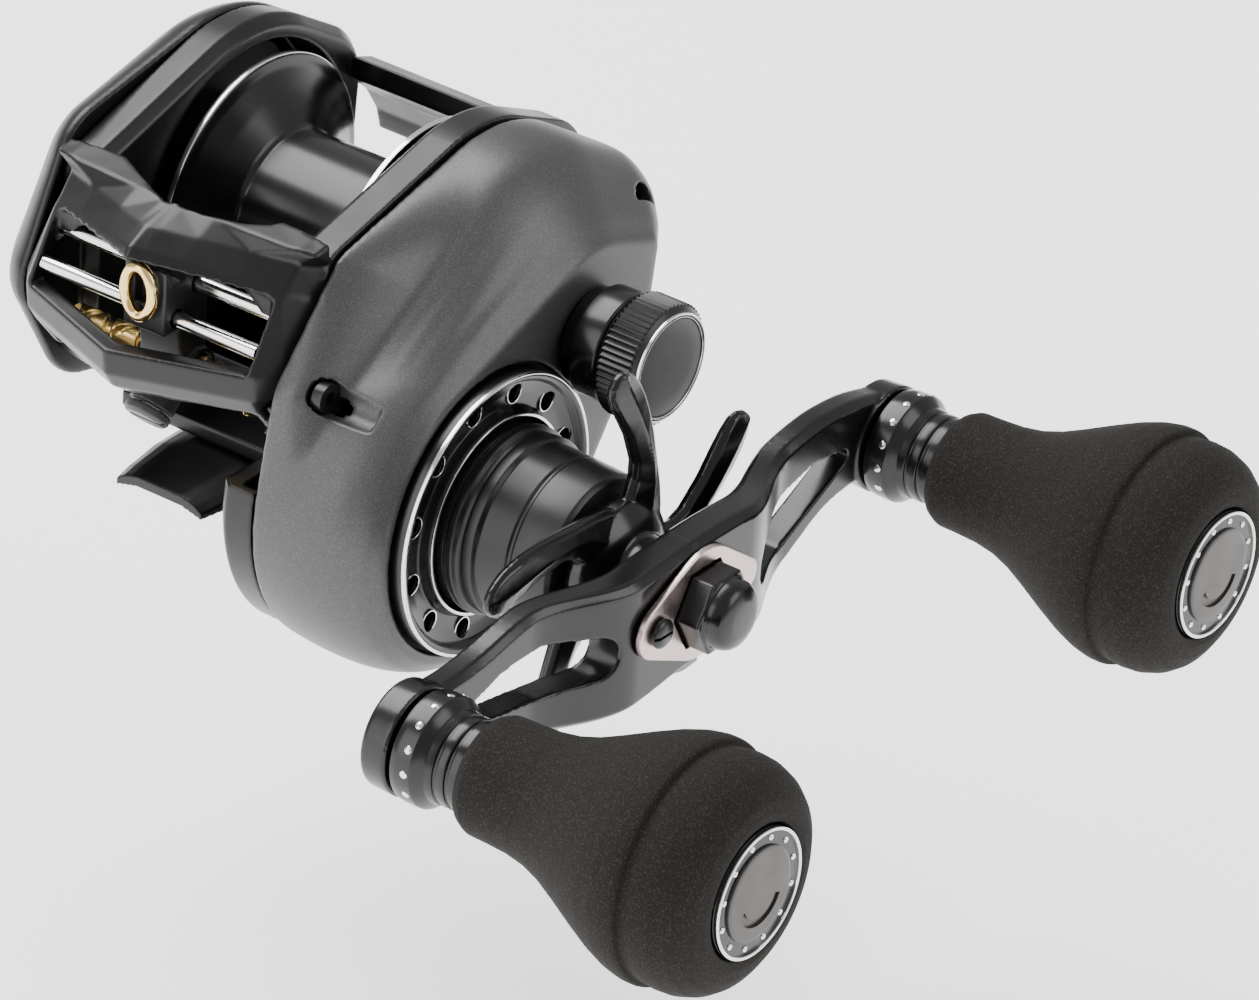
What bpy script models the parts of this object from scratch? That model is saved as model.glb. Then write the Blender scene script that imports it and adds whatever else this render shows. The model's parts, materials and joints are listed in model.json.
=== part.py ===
"""Low-profile baitcasting reel, handle on the right, modelled piece by piece.

Frame: metres, +Z up. The origin is the centre of the foot's flat seat, straight under the spool.
+X runs towards the handle, -Y towards the rod tip (line guide), +Y towards the angler.
Lengths below are in millimetres and are scaled by MM when a mesh is made.
"""

import math

import bmesh
import bpy
from mathutils import Matrix

MM = 0.001

# Facets round a full turn
FINE = 24
MEDIUM = 18
COARSE = 12
SMALL = 8

# Axes that run along X, as (y, z)
SPOOL_AXIS = (0.0, 23.5)
DRIVE_AXIS = (-19.1, 6.9)
KNOB_REACH = 47.5       # from the drive axis to each knob axis
KNOB_FRONT_AXIS = (DRIVE_AXIS[0] - KNOB_REACH, DRIVE_AXIS[1])
KNOB_REAR_AXIS = (DRIVE_AXIS[0] + KNOB_REACH, DRIVE_AXIS[1])

# Gear train: the centre distances fix the modules
DRIVE_TEETH = 80
PINION_TEETH = 15
COG_TEETH = 57
WORM_GEAR_TEETH = 16
GEAR_MODULE = 2 * math.dist(SPOOL_AXIS, DRIVE_AXIS) / (DRIVE_TEETH + PINION_TEETH)
COG_MODULE = 0.5
WORM_ANGLE = math.radians(140)      # direction from the drive axis to the worm axis
WORM_DISTANCE = COG_MODULE * (COG_TEETH + WORM_GEAR_TEETH) / 2
WORM_AXIS = (
    DRIVE_AXIS[0] + WORM_DISTANCE * math.cos(WORM_ANGLE),
    DRIVE_AXIS[1] + WORM_DISTANCE * math.sin(WORM_ANGLE),
)

# Stations along X
PALM_COVER_X = (-27.0, -20.4)
PALM_RING_X = (-20.1, -14.6)
GEAR_PLATE_X = (14.8, 17.4)
HOOD_X = 20.1
GEAR_COVER_X = (20.4, 38.6)
SPOOL_HALF = 13.2
SPOOL_R = 19.1
ARBOR_R = 10.5
HUB_FACE_X = 56.0       # outer end of the clutch housing
HANDLE_BACK_X = 61.2
HANDLE_FACE_X = 65.0
HANDLE_HUB_X = 70.2
RETAINER_SCREW_Y = -9.0         # from the drive axis, along the arm

# Level wind
GUIDE_BAR_UPPER = (-33.0, 31.0)
GUIDE_BAR_LOWER = (-36.9, 27.6)
GUIDE_BAR_R = 1.0
WORM_R = 2.4

# Reel foot
FOOT_FRONT = -34.0
FOOT_REAR = 30.0
FOOT_THICK = 1.75

AXIS_X = Matrix(((0, 0, 1, 0), (1, 0, 0, 0), (0, 1, 0, 0), (0, 0, 0, 1)))

FINISHES = {
    "satin_black": ((0.018, 0.018, 0.019), 0.42, 0.3),
    "gloss_black": ((0.010, 0.010, 0.011), 0.22, 0.4),
    "graphite_paint": ((0.105, 0.100, 0.098), 0.45, 0.7),
    "polished_silver": ((0.78, 0.77, 0.76), 0.18, 1.0),
    "steel": ((0.50, 0.49, 0.48), 0.30, 1.0),
    "brass": ((0.72, 0.52, 0.22), 0.28, 1.0),
    "gold_coat": ((0.90, 0.66, 0.30), 0.20, 1.0),
    "carbon_fibre": ((0.030, 0.030, 0.032), 0.60, 0.0),
    "black_plastic": ((0.022, 0.022, 0.023), 0.50, 0.0),
    "eva_foam": ((0.028, 0.026, 0.024), 0.90, 0.0),
    "rose_aluminium": ((0.62, 0.52, 0.49), 0.30, 1.0),
}


# ---------------------------------------------------------------- scene helpers

def clear_scene():
    for obj in list(bpy.data.objects):
        bpy.data.objects.remove(obj, do_unlink=True)


def new_collection(name):
    collection = bpy.data.collections.new(name)
    bpy.context.scene.collection.children.link(collection)
    return collection


def make_material(name, colour, roughness, metallic):
    material = bpy.data.materials.new(name)
    material.use_nodes = True
    shader = material.node_tree.nodes["Principled BSDF"]
    shader.inputs["Base Color"].default_value = (*colour, 1.0)
    shader.inputs["Roughness"].default_value = roughness
    shader.inputs["Metallic"].default_value = metallic
    return material


clear_scene()
REEL = new_collection("baitcasting_reel")
CUTTERS = new_collection("cutters")
MATERIALS = {name: make_material(name, *values) for name, values in FINISHES.items()}


def place(name, data, finish, axis=(0.0, 0.0), matrix=None):
    """Links an object to the reel, with its origin on the given X axis."""
    obj = bpy.data.objects.new(name, data)
    REEL.objects.link(obj)
    obj.matrix_world = Matrix.Translation((0, axis[0] * MM, axis[1] * MM)) @ (matrix or Matrix())
    data.materials.append(MATERIALS[finish])
    return obj


def pivot(name, parts, axis=(0.0, 0.0), x=0.0):
    """Parents a moving group to an empty that sits on its joint's axis."""
    empty = bpy.data.objects.new(name, None)
    REEL.objects.link(empty)
    empty.empty_display_size = 0.01
    empty.location = (x * MM, axis[0] * MM, axis[1] * MM)
    bpy.context.view_layer.update()
    for part in parts:
        world = part.matrix_world.copy()
        part.parent = empty
        part.matrix_parent_inverse = empty.matrix_world.inverted()
        part.matrix_world = world


def shade(obj, angle=35):
    obj.data.shade_smooth()
    obj.data.set_sharp_from_angle(angle=math.radians(angle))


def as_cutter(obj):
    REEL.objects.unlink(obj)
    CUTTERS.objects.link(obj)
    obj.hide_render = True
    obj.display_type = "WIRE"
    return obj


def boolean(obj, other, operation):
    modifier = obj.modifiers.new(operation.lower(), "BOOLEAN")
    modifier.operation = operation
    modifier.solver = "EXACT"
    modifier.object = as_cutter(other)
    return obj


def cut(obj, *others):
    for other in others:
        boolean(obj, other, "DIFFERENCE")
    return obj


def join(obj, *others):
    for other in others:
        boolean(obj, other, "UNION")
    return obj


# ---------------------------------------------------------------- shape helpers

def turned(name, finish, axis, outer, inner=(), steps=MEDIUM):
    """A solid of revolution about an X axis. outer and inner list (x, radius) from low x to high x.

    An inner list that ends at radius 0 is a blind bore, open at low x.
    """
    mesh = bpy.data.meshes.new(name)
    rim = list(reversed(outer))
    blind = bool(inner) and inner[-1][1] == 0.0
    if blind:
        profile = [(rim[0][0], 0.0), *rim, *inner]
    elif inner:
        profile = rim + list(inner)
    else:
        profile = [(rim[0][0], 0.0), *rim, (rim[-1][0], 0.0)]
    points = [(radius * MM, 0.0, x * MM) for x, radius in profile]
    edges = [(index, index + 1) for index in range(len(points) - 1)]
    if inner and not blind:
        edges.append((len(points) - 1, 0))
    mesh.from_pydata(points, edges, [])
    obj = place(name, mesh, finish, axis, AXIS_X)
    screw = obj.modifiers.new("turn", "SCREW")
    screw.steps = steps
    screw.render_steps = steps
    screw.use_merge_vertices = True
    screw.merge_threshold = 0.00001
    screw.use_smooth_shade = True
    return obj


def plate(name, finish, axis, outlines, x_low, x_high):
    """A flat piece across X. outlines are (y, z) loops about the axis: the rim first, then the holes."""
    curve = bpy.data.curves.new(name, "CURVE")
    curve.dimensions = "2D"
    curve.fill_mode = "BOTH"
    curve.extrude = (x_high - x_low) / 2 * MM
    for outline in outlines:
        spline = curve.splines.new("POLY")
        spline.points.add(len(outline) - 1)
        spline.use_cyclic_u = True
        for point, (y, z) in zip(spline.points, outline):
            point.co = (y * MM, z * MM, 0.0, 1.0)
    middle = Matrix.Translation(((x_low + x_high) / 2 * MM, 0, 0))
    flat = place(name, curve, finish, axis, middle @ AXIS_X)
    return curve_to_mesh(flat)


def curve_to_mesh(obj):
    """Turns a curve object into a mesh object with welded caps, under the same name."""
    bpy.context.view_layer.update()
    evaluated = obj.evaluated_get(bpy.context.evaluated_depsgraph_get())
    mesh = bpy.data.meshes.new_from_object(evaluated)
    name, matrix = obj.name, obj.matrix_world.copy()
    bpy.data.objects.remove(obj, do_unlink=True)
    mesh.name = name
    shell = bmesh.new()
    shell.from_mesh(mesh)
    bmesh.ops.remove_doubles(shell, verts=shell.verts, dist=1e-6)
    bmesh.ops.recalc_face_normals(shell, faces=shell.faces)
    shell.to_mesh(mesh)
    shell.free()
    solid = bpy.data.objects.new(name, mesh)
    REEL.objects.link(solid)
    solid.matrix_world = matrix
    return solid


def circle(radius, count=MEDIUM, centre=(0.0, 0.0)):
    turn = 2 * math.pi / count
    return [
        (centre[0] + radius * math.cos(turn * i), centre[1] + radius * math.sin(turn * i))
        for i in range(count)
    ]


def hull(circles, count=FINE):
    """The outline round a set of (y, z, radius) circles: arcs joined by their common tangents."""
    outline = []
    for i in range(count):
        angle = 2 * math.pi * i / count
        cy, cz = math.cos(angle), math.sin(angle)
        y, z, radius = max(circles, key=lambda c: c[0] * cy + c[1] * cz + c[2])
        outline.append((y + radius * cy, z + radius * cz))
    return outline


def loft(name, finish, rings, axis=(0.0, 0.0)):
    """A closed solid through rings of (x, y, z) points, all with the same count, from low x to high x."""
    mesh = bpy.data.meshes.new(name)
    shell = bmesh.new()
    loops = [[shell.verts.new((x * MM, y * MM, z * MM)) for x, y, z in ring] for ring in rings]
    count = len(rings[0])
    for low, high in zip(loops, loops[1:]):
        for i in range(count):
            j = (i + 1) % count
            shell.faces.new((low[i], low[j], high[j], high[i]))
    shell.faces.new(list(reversed(loops[0])))
    shell.faces.new(loops[-1])
    bmesh.ops.remove_doubles(shell, verts=shell.verts, dist=1e-7)
    bmesh.ops.triangulate(shell, faces=shell.faces)
    bmesh.ops.recalc_face_normals(shell, faces=shell.faces)
    shell.to_mesh(mesh)
    shell.free()
    return place(name, mesh, finish, axis)


def hull_loft(name, finish, sections, count=FINE):
    """A loft through hull outlines: sections list (x, circles)."""
    rings = [[(x, y, z) for y, z in hull(circles, count)] for x, circles in sections]
    return loft(name, finish, rings)


def box(name, finish, low, high):
    mesh = bpy.data.meshes.new(name)
    cube = bmesh.new()
    size = [(b - a) * MM for a, b in zip(low, high)]
    centre = [(a + b) / 2 * MM for a, b in zip(low, high)]
    matrix = Matrix.Translation(centre) @ Matrix.Diagonal((*size, 1.0))
    bmesh.ops.create_cube(cube, size=1.0, matrix=matrix)
    cube.to_mesh(mesh)
    cube.free()
    return place(name, mesh, finish)


def rod(name, finish, axis, x_low, x_high, radius, steps=COARSE):
    """A plain round bar or, as a cutter, a round hole, along X."""
    return turned(name, finish, axis, [(x_low, radius), (x_high, radius)], steps=steps)


def tooth_outline(teeth, module, phase, addendum=0.6, dedendum=1.2, tip_share=0.07):
    """A spur gear's rim: a flat tip and a sharp root a tooth, the first tooth centred on the phase."""
    pitch_r = teeth * module / 2
    pitch = 2 * math.pi / teeth
    tip_r, root_r = pitch_r + addendum * module, pitch_r - dedendum * module
    tip_half = pitch * tip_share
    outline = []
    for i in range(teeth):
        middle = phase + i * pitch
        for radius, offset in ((tip_r, -tip_half), (tip_r, tip_half), (root_r, pitch / 2)):
            outline.append((radius * math.cos(middle + offset), radius * math.sin(middle + offset)))
    return outline


def direction(start, end):
    return math.atan2(end[1] - start[1], end[0] - start[0])


# ---------------------------------------------------------------- frame

def outline_at(circles, grow):
    return [(y, z, radius + grow) for y, z, radius in circles]


REAR_SHOULDER = (14.2, 31.0, 9.0)
PALM_RIM = [(0.0, 23.5, 22.7), (-25.4, 35.4, 4.0), (-25.4, 13.2, 4.0), REAR_SHOULDER]
PALM_FRONT = [
    (0.0, 23.5, 22.7), (-22.0, 34.0, 8.4), (-30.2, 22.5, 6.0), (-22.0, 14.6, 9.4), REAR_SHOULDER,
]
GEAR_RIM = [(0.5, 23.0, 22.0), (-19.1, 6.9, 22.4), (-25.2, 35.0, 4.0), REAR_SHOULDER]
THUMB_PIN = (20.0, 31.5)        # the pins that guide the thumb bar, as (y, z)
THUMB_TRAVEL = 3.0


def frame_palm_ring():
    ring = hull_loft("frame_palm_ring", "satin_black", [
        (PALM_RING_X[0], PALM_RIM),
        (PALM_RING_X[1] - 1.6, outline_at(PALM_RIM, 0.4)),
        (PALM_RING_X[1], outline_at(PALM_RIM, -0.8)),
    ])
    return cut(ring, rod("ring_bore", "satin_black", SPOOL_AXIS, -21, -14, SPOOL_R + 1.1, FINE))


def frame_gear_plate():
    """The gear side's wall, with a raised rim that meets the gear cover."""
    wall = hull_loft("frame_gear_plate", "satin_black", [
        (GEAR_PLATE_X[0], outline_at(GEAR_RIM, -1.2)),
        (GEAR_PLATE_X[0] + 1.2, GEAR_RIM),
        (HOOD_X, GEAR_RIM),
    ])
    inside_rim = outline_at(GEAR_RIM, -1.4)
    return cut(
        wall,
        hull_loft("gear_recess", "satin_black", [(GEAR_PLATE_X[1], inside_rim), (22.0, inside_rim)]),
        rod("bearing_seat", "satin_black", SPOOL_AXIS, 14, 18, 5.3),
        rod("shaft_bore", "satin_black", DRIVE_AXIS, 14, 18, 5.3),
        box("nose_clearance", "satin_black", (14, -46, 11.0), (23, -28.4, 46)),
        hull_loft("thumb_pin_slot", "satin_black", [
            (x, [(*THUMB_PIN, 1.6), (THUMB_PIN[0], THUMB_PIN[1] - THUMB_TRAVEL, 1.6)]) for x in (14, 18)
        ], COARSE),
    )


def frame_lower_bridge():
    """The bed under the spool, hollowed to the spool's radius, that carries the foot."""
    bed = box("frame_lower_bridge", "satin_black", (-14.3, -22.5, 2.05), (14.5, 9.0, 8.0))
    hollow = rod("spool_hollow", "satin_black", SPOOL_AXIS, -16, 16, SPOOL_R + 0.75, FINE)
    front_slope = box("bed_front_slope", "satin_black", (-16, -30, 4.2), (16, -12.5, 9))
    return cut(bed, hollow, front_slope)


def frame_rear_bridge():
    """The rear cross member: an arc of wall low behind the spool, open above it up to the thumb bar."""
    start, end, steps = math.radians(-61), math.radians(-24), 8
    inner_r, outer_r = SPOOL_R + 1.0, 22.5
    angles = [start + (end - start) * i / steps for i in range(steps + 1)]
    outline = [(outer_r * math.cos(a), outer_r * math.sin(a)) for a in angles]
    outline += [(inner_r * math.cos(a), inner_r * math.sin(a)) for a in reversed(angles)]
    return plate("frame_rear_bridge", "satin_black", SPOOL_AXIS, [outline], -14.3, 14.5)


HOOD_HALF_WINDOW = 16.8
HOOD_OPENING = (                # the top opening's front edge, as (x, y)
    (-13.4, -26.0), (-11.1, -28.4), (-5.2, -31.6), (-1.1, -33.4), (4.3, -32.8), (9.0, -31.4),
    (12.2, -29.3), (13.8, -26.0),
)
HOOD_STATIONS = (-HOOD_X, -17.6, 0.0, 17.6, HOOD_X)


def nose_setback(x):
    """How far the nose falls back from its middle ridge at a distance x from the middle."""
    side = abs(x)
    if side <= 17.6:
        return 6.6 * side / 17.6
    return 6.6 + (side - 17.6) * 1.3


def hood_ring(x):
    back = nose_setback(x)
    top_back = back * 1.25
    return [
        (x, -29.7, 12.0),
        (x, -37.0 + back * 0.55, 15.0),
        (x, -43.8 + back, 19.6),
        (x, -45.4 + back, 22.0),
        (x, -45.8 + back, 25.4),
        (x, -42.6 + top_back, 36.2 - back * 0.35),
        (x, -41.6 + top_back, 37.8 - back * 0.45),
        (x, -38.5 + top_back * 0.9, 39.4 - back * 0.25),
        (x, -33.4 + back * 0.25, 40.6 - back * 0.1),
        (x, -29.7, 41.2 - back * 0.1),
    ]


def hood_cavity_ring(x):
    back = nose_setback(x)
    top_back = back * 1.25
    return [
        (x, -29.0, 14.0),
        (x, -36.4 + back * 0.5, 15.0),
        (x, -42.6 + back, 21.8),
        (x, -43.0 + back, 25.4),
        (x, -40.4 + top_back, 34.6 - back * 0.35),
        (x, -37.6 + top_back * 0.9, 36.8 - back * 0.25),
        (x, -29.0, 38.6),
    ]


def window_ring(x, y_low):
    back = nose_setback(x)
    return [
        (x, y_low, 25.4),
        (x, -34.5, 25.4),
        (x, -34.5, 36.4 - back * 0.35),
        (x, y_low, 36.4 - back * 0.35),
    ]


def front_hood():
    """The faceted nose round the level wind, with its line window and the rim of the top opening."""
    hood = loft("front_hood", "satin_black", [hood_ring(x) for x in HOOD_STATIONS])
    inside = (-16.9, 0.0, 16.9)
    cavity = loft("hood_cavity", "satin_black", [hood_cavity_ring(x) for x in inside])
    window = loft("hood_window", "satin_black", [
        window_ring(x, -50.0) for x in (-HOOD_HALF_WINDOW, 0.0, HOOD_HALF_WINDOW)
    ])
    gear_pocket = rod("worm_gear_pocket", "satin_black", WORM_AXIS, 17.9, 21.0, 5.0, COARSE)
    cog_pocket = rod("cog_pocket", "satin_black", DRIVE_AXIS, 17.9, 21.0, 15.2, FINE)
    throat = rod("spool_throat", "satin_black", SPOOL_AXIS, -14.2, 14.4, SPOOL_R + 13.0, FINE)
    under = [(-28.0, 8.0), (-42.5, 8.0), (-42.5, 16.6), (-38.6, 19.0), (-28.0, 22.0)]
    worm_port = loft("worm_port", "satin_black", [[(x, y, z) for y, z in under] for x in (-16.4, 16.4)])
    worm_bore = rod("worm_bore", "satin_black", WORM_AXIS, -17.6, 21.0, 1.6, SMALL)
    bar_bore = rod("upper_bar_bore", "satin_black", GUIDE_BAR_UPPER, -17, 17, GUIDE_BAR_R + 0.35, SMALL)
    opening = loft("hood_opening", "satin_black", [
        [(x, y, z) for x, y in HOOD_OPENING] for z in (39.3, 44.0)
    ])
    pockets = (gear_pocket, cog_pocket, throat, worm_port, worm_bore, bar_bore, opening)
    return cut(hood, cavity, window, *pockets)


def reel_foot():
    """The T-shaped foot: a blade along Y whose two ends taper and thin out for the rod's hoods."""
    half_lengths = (
        (FOOT_FRONT, 6.7, 1.3), (FOOT_FRONT + 9, 7.9, FOOT_THICK), (-12.0, 8.1, 1.8),
        (12.0, 8.1, 1.8), (FOOT_REAR - 8, 7.6, FOOT_THICK), (FOOT_REAR, 6.0, 1.3),
    )
    rings = []
    for y, half, thick in half_lengths:
        rings.append([
            (-half, y, -0.9), (-half * 0.45, y, 0.0), (half * 0.45, y, 0.0), (half, y, -0.9),
            (half, y, thick - 1.4), (half * 0.45, y, thick), (-half * 0.45, y, thick),
            (-half, y, thick - 1.4),
        ])
    return loft("reel_foot", "satin_black", rings)


# ---------------------------------------------------------------- covers

def cover_rim(spool_r, drum_r, front, top, shoulder_r):
    """The gear cover's outline at one station: spool end, gear drum, front nose, top and rear shoulder."""
    shoulder = (REAR_SHOULDER[0] - 0.6, REAR_SHOULDER[1] - 0.8, shoulder_r)
    return [(1.0, 22.4, spool_r), (*DRIVE_AXIS, drum_r), front, top, shoulder]


FRONT_SCREW_AXIS = (-35.6, 24.6)
REAR_SCREW_AXIS = (15.6, 33.9)
SCREW_HEAD_R = 1.9


def gear_side_cover():
    """The painted shell over the gear train, hollow from the frame side."""
    outside = hull_loft("gear_side_cover", "graphite_paint", [
        (20.4, cover_rim(22.3, 22.9, (-34.4, 22.6, 5.0), (-25.0, 35.0, 4.0), 9.0)),
        (24.6, cover_rim(22.4, 23.3, (-34.0, 23.0, 4.6), (-22.5, 33.4, 4.0), 9.2)),
        (29.0, cover_rim(21.6, 23.4, (-29.0, 20.4, 5.0), (-18.0, 29.6, 4.0), 9.0)),
        (33.0, cover_rim(18.8, 23.0, (-25.0, 18.0, 4.0), (-15.0, 25.0, 4.0), 7.0)),
        (36.4, cover_rim(15.0, 21.9, (-22.0, 16.0, 4.0), (-12.0, 20.0, 4.0), 3.4)),
        (38.6, cover_rim(12.0, 20.0, (-20.0, 14.0, 4.0), (-10.0, 16.0, 4.0), 0.5)),
    ], 36)
    inside = hull_loft("gear_cover_inside", "graphite_paint", [
        (19.0, [(0.6, 22.9, 20.7), (-19.1, 6.9, 22.15)]),
        (28.0, [(1.2, 21.6, 20.2), (-19.1, 6.9, 22.15)]),
        (31.5, [(1.4, 20.6, 16.4), (-19.1, 6.9, 20.8)]),
        (34.0, [(1.4, 20.6, 13.0), (-19.1, 6.9, 19.4)]),
        (36.0, [(1.0, 21.5, 9.0), (-19.1, 6.9, 17.5)]),
    ], FINE)
    return cut(
        outside,
        rod("cast_hole", "graphite_paint", SPOOL_AXIS, 25.0, 43, 5.45, MEDIUM),
        inside,
        turned("housing_hole", "graphite_paint", DRIVE_AXIS,
               [(32.6, 12.9), (37.2, 12.9), (37.2, 18.9), (42.0, 18.9)], steps=FINE + 2),
        rod("front_screw_hole", "graphite_paint", FRONT_SCREW_AXIS, 19, 26, 1.2, SMALL),
        rod("rear_screw_hole", "graphite_paint", REAR_SCREW_AXIS, 19, 30, 1.2, SMALL),
        rod("front_screw_seat", "graphite_paint", FRONT_SCREW_AXIS, 24.3, 32, SCREW_HEAD_R + 0.3, COARSE),
        rod("rear_screw_seat", "graphite_paint", REAR_SCREW_AXIS, 25.9, 34, SCREW_HEAD_R + 0.3, COARSE),
    )


def palm_side_cover():
    outside = hull_loft("palm_side_cover", "satin_black", [
        (-27.0, [(-1.0, 23.5, 17.6), (-17.0, 30.0, 7.0), (-24.0, 22.5, 5.0), (-17.0, 17.5, 7.5)]),
        (-26.0, [(-0.8, 23.5, 19.6), (-18.6, 31.5, 7.4), (-26.4, 22.5, 5.4), (-18.6, 16.6, 8.2)]),
        (-24.0, [(-0.4, 23.5, 21.6), (-20.6, 33.2, 8.0), (-28.8, 22.5, 5.8), (-20.6, 15.4, 9.0)]),
        (-21.6, PALM_FRONT),
        (-20.4, PALM_FRONT),
    ], 36)
    inside = hull_loft("palm_cover_inside", "satin_black", [
        (-25.2, [(-0.8, 23.5, 17.0), (-17.0, 30.0, 5.0), (-17.0, 17.5, 5.0)]),
        (-23.0, [(-0.4, 23.5, 19.6), (-19.0, 31.5, 6.0), (-19.0, 16.0, 6.0)]),
        (-19.0, [(0.0, 23.5, 20.2), (-20.0, 32.0, 6.4), (-20.0, 15.4, 6.8)]),
    ], FINE)
    return cut(outside, inside, rod("dial_hole", "satin_black", SPOOL_AXIS, -28, -24, 5.3, COARSE))


def screw(name, axis, x_head, length, finish="steel"):
    """A countersunk screw whose slotted head ends at x_head."""
    return turned(name, finish, axis, [
        (x_head - length, 0.9), (x_head - 1.9, 0.9), (x_head - 1.5, SCREW_HEAD_R), (x_head, SCREW_HEAD_R),
    ], steps=SMALL)


# ---------------------------------------------------------------- spool group

def spool():
    """One flanged drum: deep walls, an arbor and a web that carries the shaft."""
    outer = [
        (-13.2, SPOOL_R), (-12.3, SPOOL_R), (-10.6, 14.5), (-8.4, ARBOR_R),
        (8.4, ARBOR_R), (10.6, 14.5), (12.3, SPOOL_R), (13.2, SPOOL_R),
    ]
    inner = [
        (-13.2, 17.6), (-11.6, 14.2), (-9.4, 9.2), (-1.0, 9.2), (-1.0, 2.55),
        (1.0, 2.55), (1.0, 9.2), (9.4, 9.2), (11.6, 14.2), (13.2, 17.6),
    ]
    return turned("spool", "gloss_black", SPOOL_AXIS, outer, inner, FINE)


def spool_shaft():
    return turned("spool_shaft", "steel", SPOOL_AXIS, [
        (-19.6, 1.5), (-17.2, 1.5), (-17.2, 2.2), (11.5, 2.2), (11.6, 1.45), (44.0, 1.45), (44.6, 1.0),
    ], steps=COARSE)


def brake_rotor():
    return turned("brake_rotor", "black_plastic", SPOOL_AXIS,
                  [(-15.6, 8.6), (-9.8, 8.6)],
                  [(-15.6, 7.6), (-13.2, 7.6), (-13.1, 2.55), (-9.8, 2.55)], MEDIUM)


# ---------------------------------------------------------------- bearings

def bearing(name, axis, x_low, x_high, outer_r, bore_r, steps=COARSE):
    return turned(name, "steel", axis, [(x_low, outer_r), (x_high, outer_r)],
                  [(x_low, bore_r), (x_high, bore_r)], steps)


# ---------------------------------------------------------------- drive train

def drive_gear():
    phase = direction(DRIVE_AXIS, SPOOL_AXIS)
    outlines = [tooth_outline(DRIVE_TEETH, GEAR_MODULE, phase), circle(16.6, FINE)]
    rim = plate("drive_gear", "brass", DRIVE_AXIS, outlines, 22.0, 26.4)
    web = turned("drive_gear_web", "brass", DRIVE_AXIS, [(22.1, 18.0), (23.2, 18.0)],
                 [(22.1, 3.4), (23.2, 3.4)], FINE)
    return join(rim, web)


def pinion_gear():
    pitch = 2 * math.pi / PINION_TEETH
    phase = direction(SPOOL_AXIS, DRIVE_AXIS) + pitch / 2
    teeth = plate("pinion_gear", "brass", SPOOL_AXIS,
                  [tooth_outline(PINION_TEETH, GEAR_MODULE, phase)], 21.2, 27.6)
    core = turned("pinion_core", "brass", SPOOL_AXIS, [
        (13.6, 3.4), (17.9, 3.4), (18.0, 2.7), (20.0, 2.7),
        (20.1, 3.2), (22.0, 3.2), (22.1, 2.6), (33.0, 2.6),
    ], steps=COARSE)
    join(teeth, core)
    return cut(teeth, rod("pinion_bore", "brass", SPOOL_AXIS, 10.0, 36.0, 1.8, COARSE))


def level_wind_cog():
    phase = direction(DRIVE_AXIS, WORM_AXIS)
    outlines = [tooth_outline(COG_TEETH, COG_MODULE, phase), circle(3.3, COARSE)]
    return plate("level_wind_cog", "black_plastic", DRIVE_AXIS, outlines, 18.3, 19.7)


def worm_gear():
    pitch = 2 * math.pi / WORM_GEAR_TEETH
    phase = direction(WORM_AXIS, DRIVE_AXIS) + pitch / 2
    outlines = [tooth_outline(WORM_GEAR_TEETH, COG_MODULE, phase), circle(1.5, SMALL)]
    return plate("worm_gear", "black_plastic", WORM_AXIS, outlines, 18.3, 19.9)


def worm_shaft():
    return turned("worm_shaft", "brass", WORM_AXIS, [
        (-17.2, 1.2), (-14.6, 1.2), (-14.5, WORM_R), (14.0, WORM_R), (14.1, 1.2), (19.9, 1.2),
    ], steps=COARSE)


def ratchet_wheel():
    teeth = 18
    outline = []
    for i in range(teeth):
        start = 2 * math.pi * i / teeth
        for radius, offset in ((7.6, 0.0), (8.8, 0.22), (8.8, 0.26)):
            outline.append((radius * math.cos(start + offset), radius * math.sin(start + offset)))
    return plate("ratchet_wheel", "steel", DRIVE_AXIS, [outline, circle(3.3, COARSE)], 20.2, 21.4)


def drive_shaft():
    return turned("drive_shaft", "steel", DRIVE_AXIS, [
        (14.9, 3.0), (61.0, 3.0), (61.0, 2.6), (70.0, 2.6), (70.1, 2.3), (72.6, 2.3), (73.0, 1.9),
    ], steps=COARSE)


def washer(name, finish, x_low, x_high, outer_r, inner_r=3.3):
    return turned(name, finish, DRIVE_AXIS, [(x_low, outer_r), (x_high, outer_r)],
                  [(x_low, inner_r), (x_high, inner_r)], MEDIUM)


def anti_reverse_sleeve():
    return turned("anti_reverse_sleeve", "steel", DRIVE_AXIS, [(29.6, 4.6), (54.8, 4.6)],
                  [(29.6, 3.3), (54.8, 3.3)], COARSE)


# ---------------------------------------------------------------- outside of the gear side

def vent_ring():
    """The dished ring round the drive boss, with a circle of drilled holes."""
    ring = turned("vent_ring", "gloss_black", DRIVE_AXIS, [
        (37.5, 18.4), (40.0, 18.4), (40.5, 17.7), (39.4, 16.9), (38.7, 13.6), (40.3, 13.1), (40.3, 12.8),
    ], [(37.5, 12.6), (40.3, 12.6)], FINE)
    holes = 12
    for i in range(holes):
        angle = 2 * math.pi * (i + 0.5) / holes
        axis = (DRIVE_AXIS[0] + 15.3 * math.cos(angle), DRIVE_AXIS[1] + 15.3 * math.sin(angle))
        cut(ring, rod(f"vent_hole_{i:02d}", "gloss_black", axis, 36.5, 41.5, 1.15, 12))
    return ring


def clutch_housing():
    return turned("clutch_housing", "satin_black", DRIVE_AXIS, [
        (36.3, 12.2), (42.6, 12.2), (42.9, 11.7), (45.2, 11.7), (45.5, 11.1), (55.4, 10.7), (56.0, 10.2),
    ], [(36.3, 8.0), (53.0, 8.0), (53.1, 5.6), (56.0, 5.6)], FINE)


def cast_collar():
    return turned("cast_collar", "gloss_black", SPOOL_AXIS, [
        (33.6, 5.0), (39.0, 5.0), (39.0, 6.3), (40.9, 6.3), (40.9, 7.2), (44.6, 7.2), (44.9, 6.9),
    ], [(33.6, 3.0), (38.0, 3.0), (38.1, 3.9), (44.9, 3.9)], MEDIUM)


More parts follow.
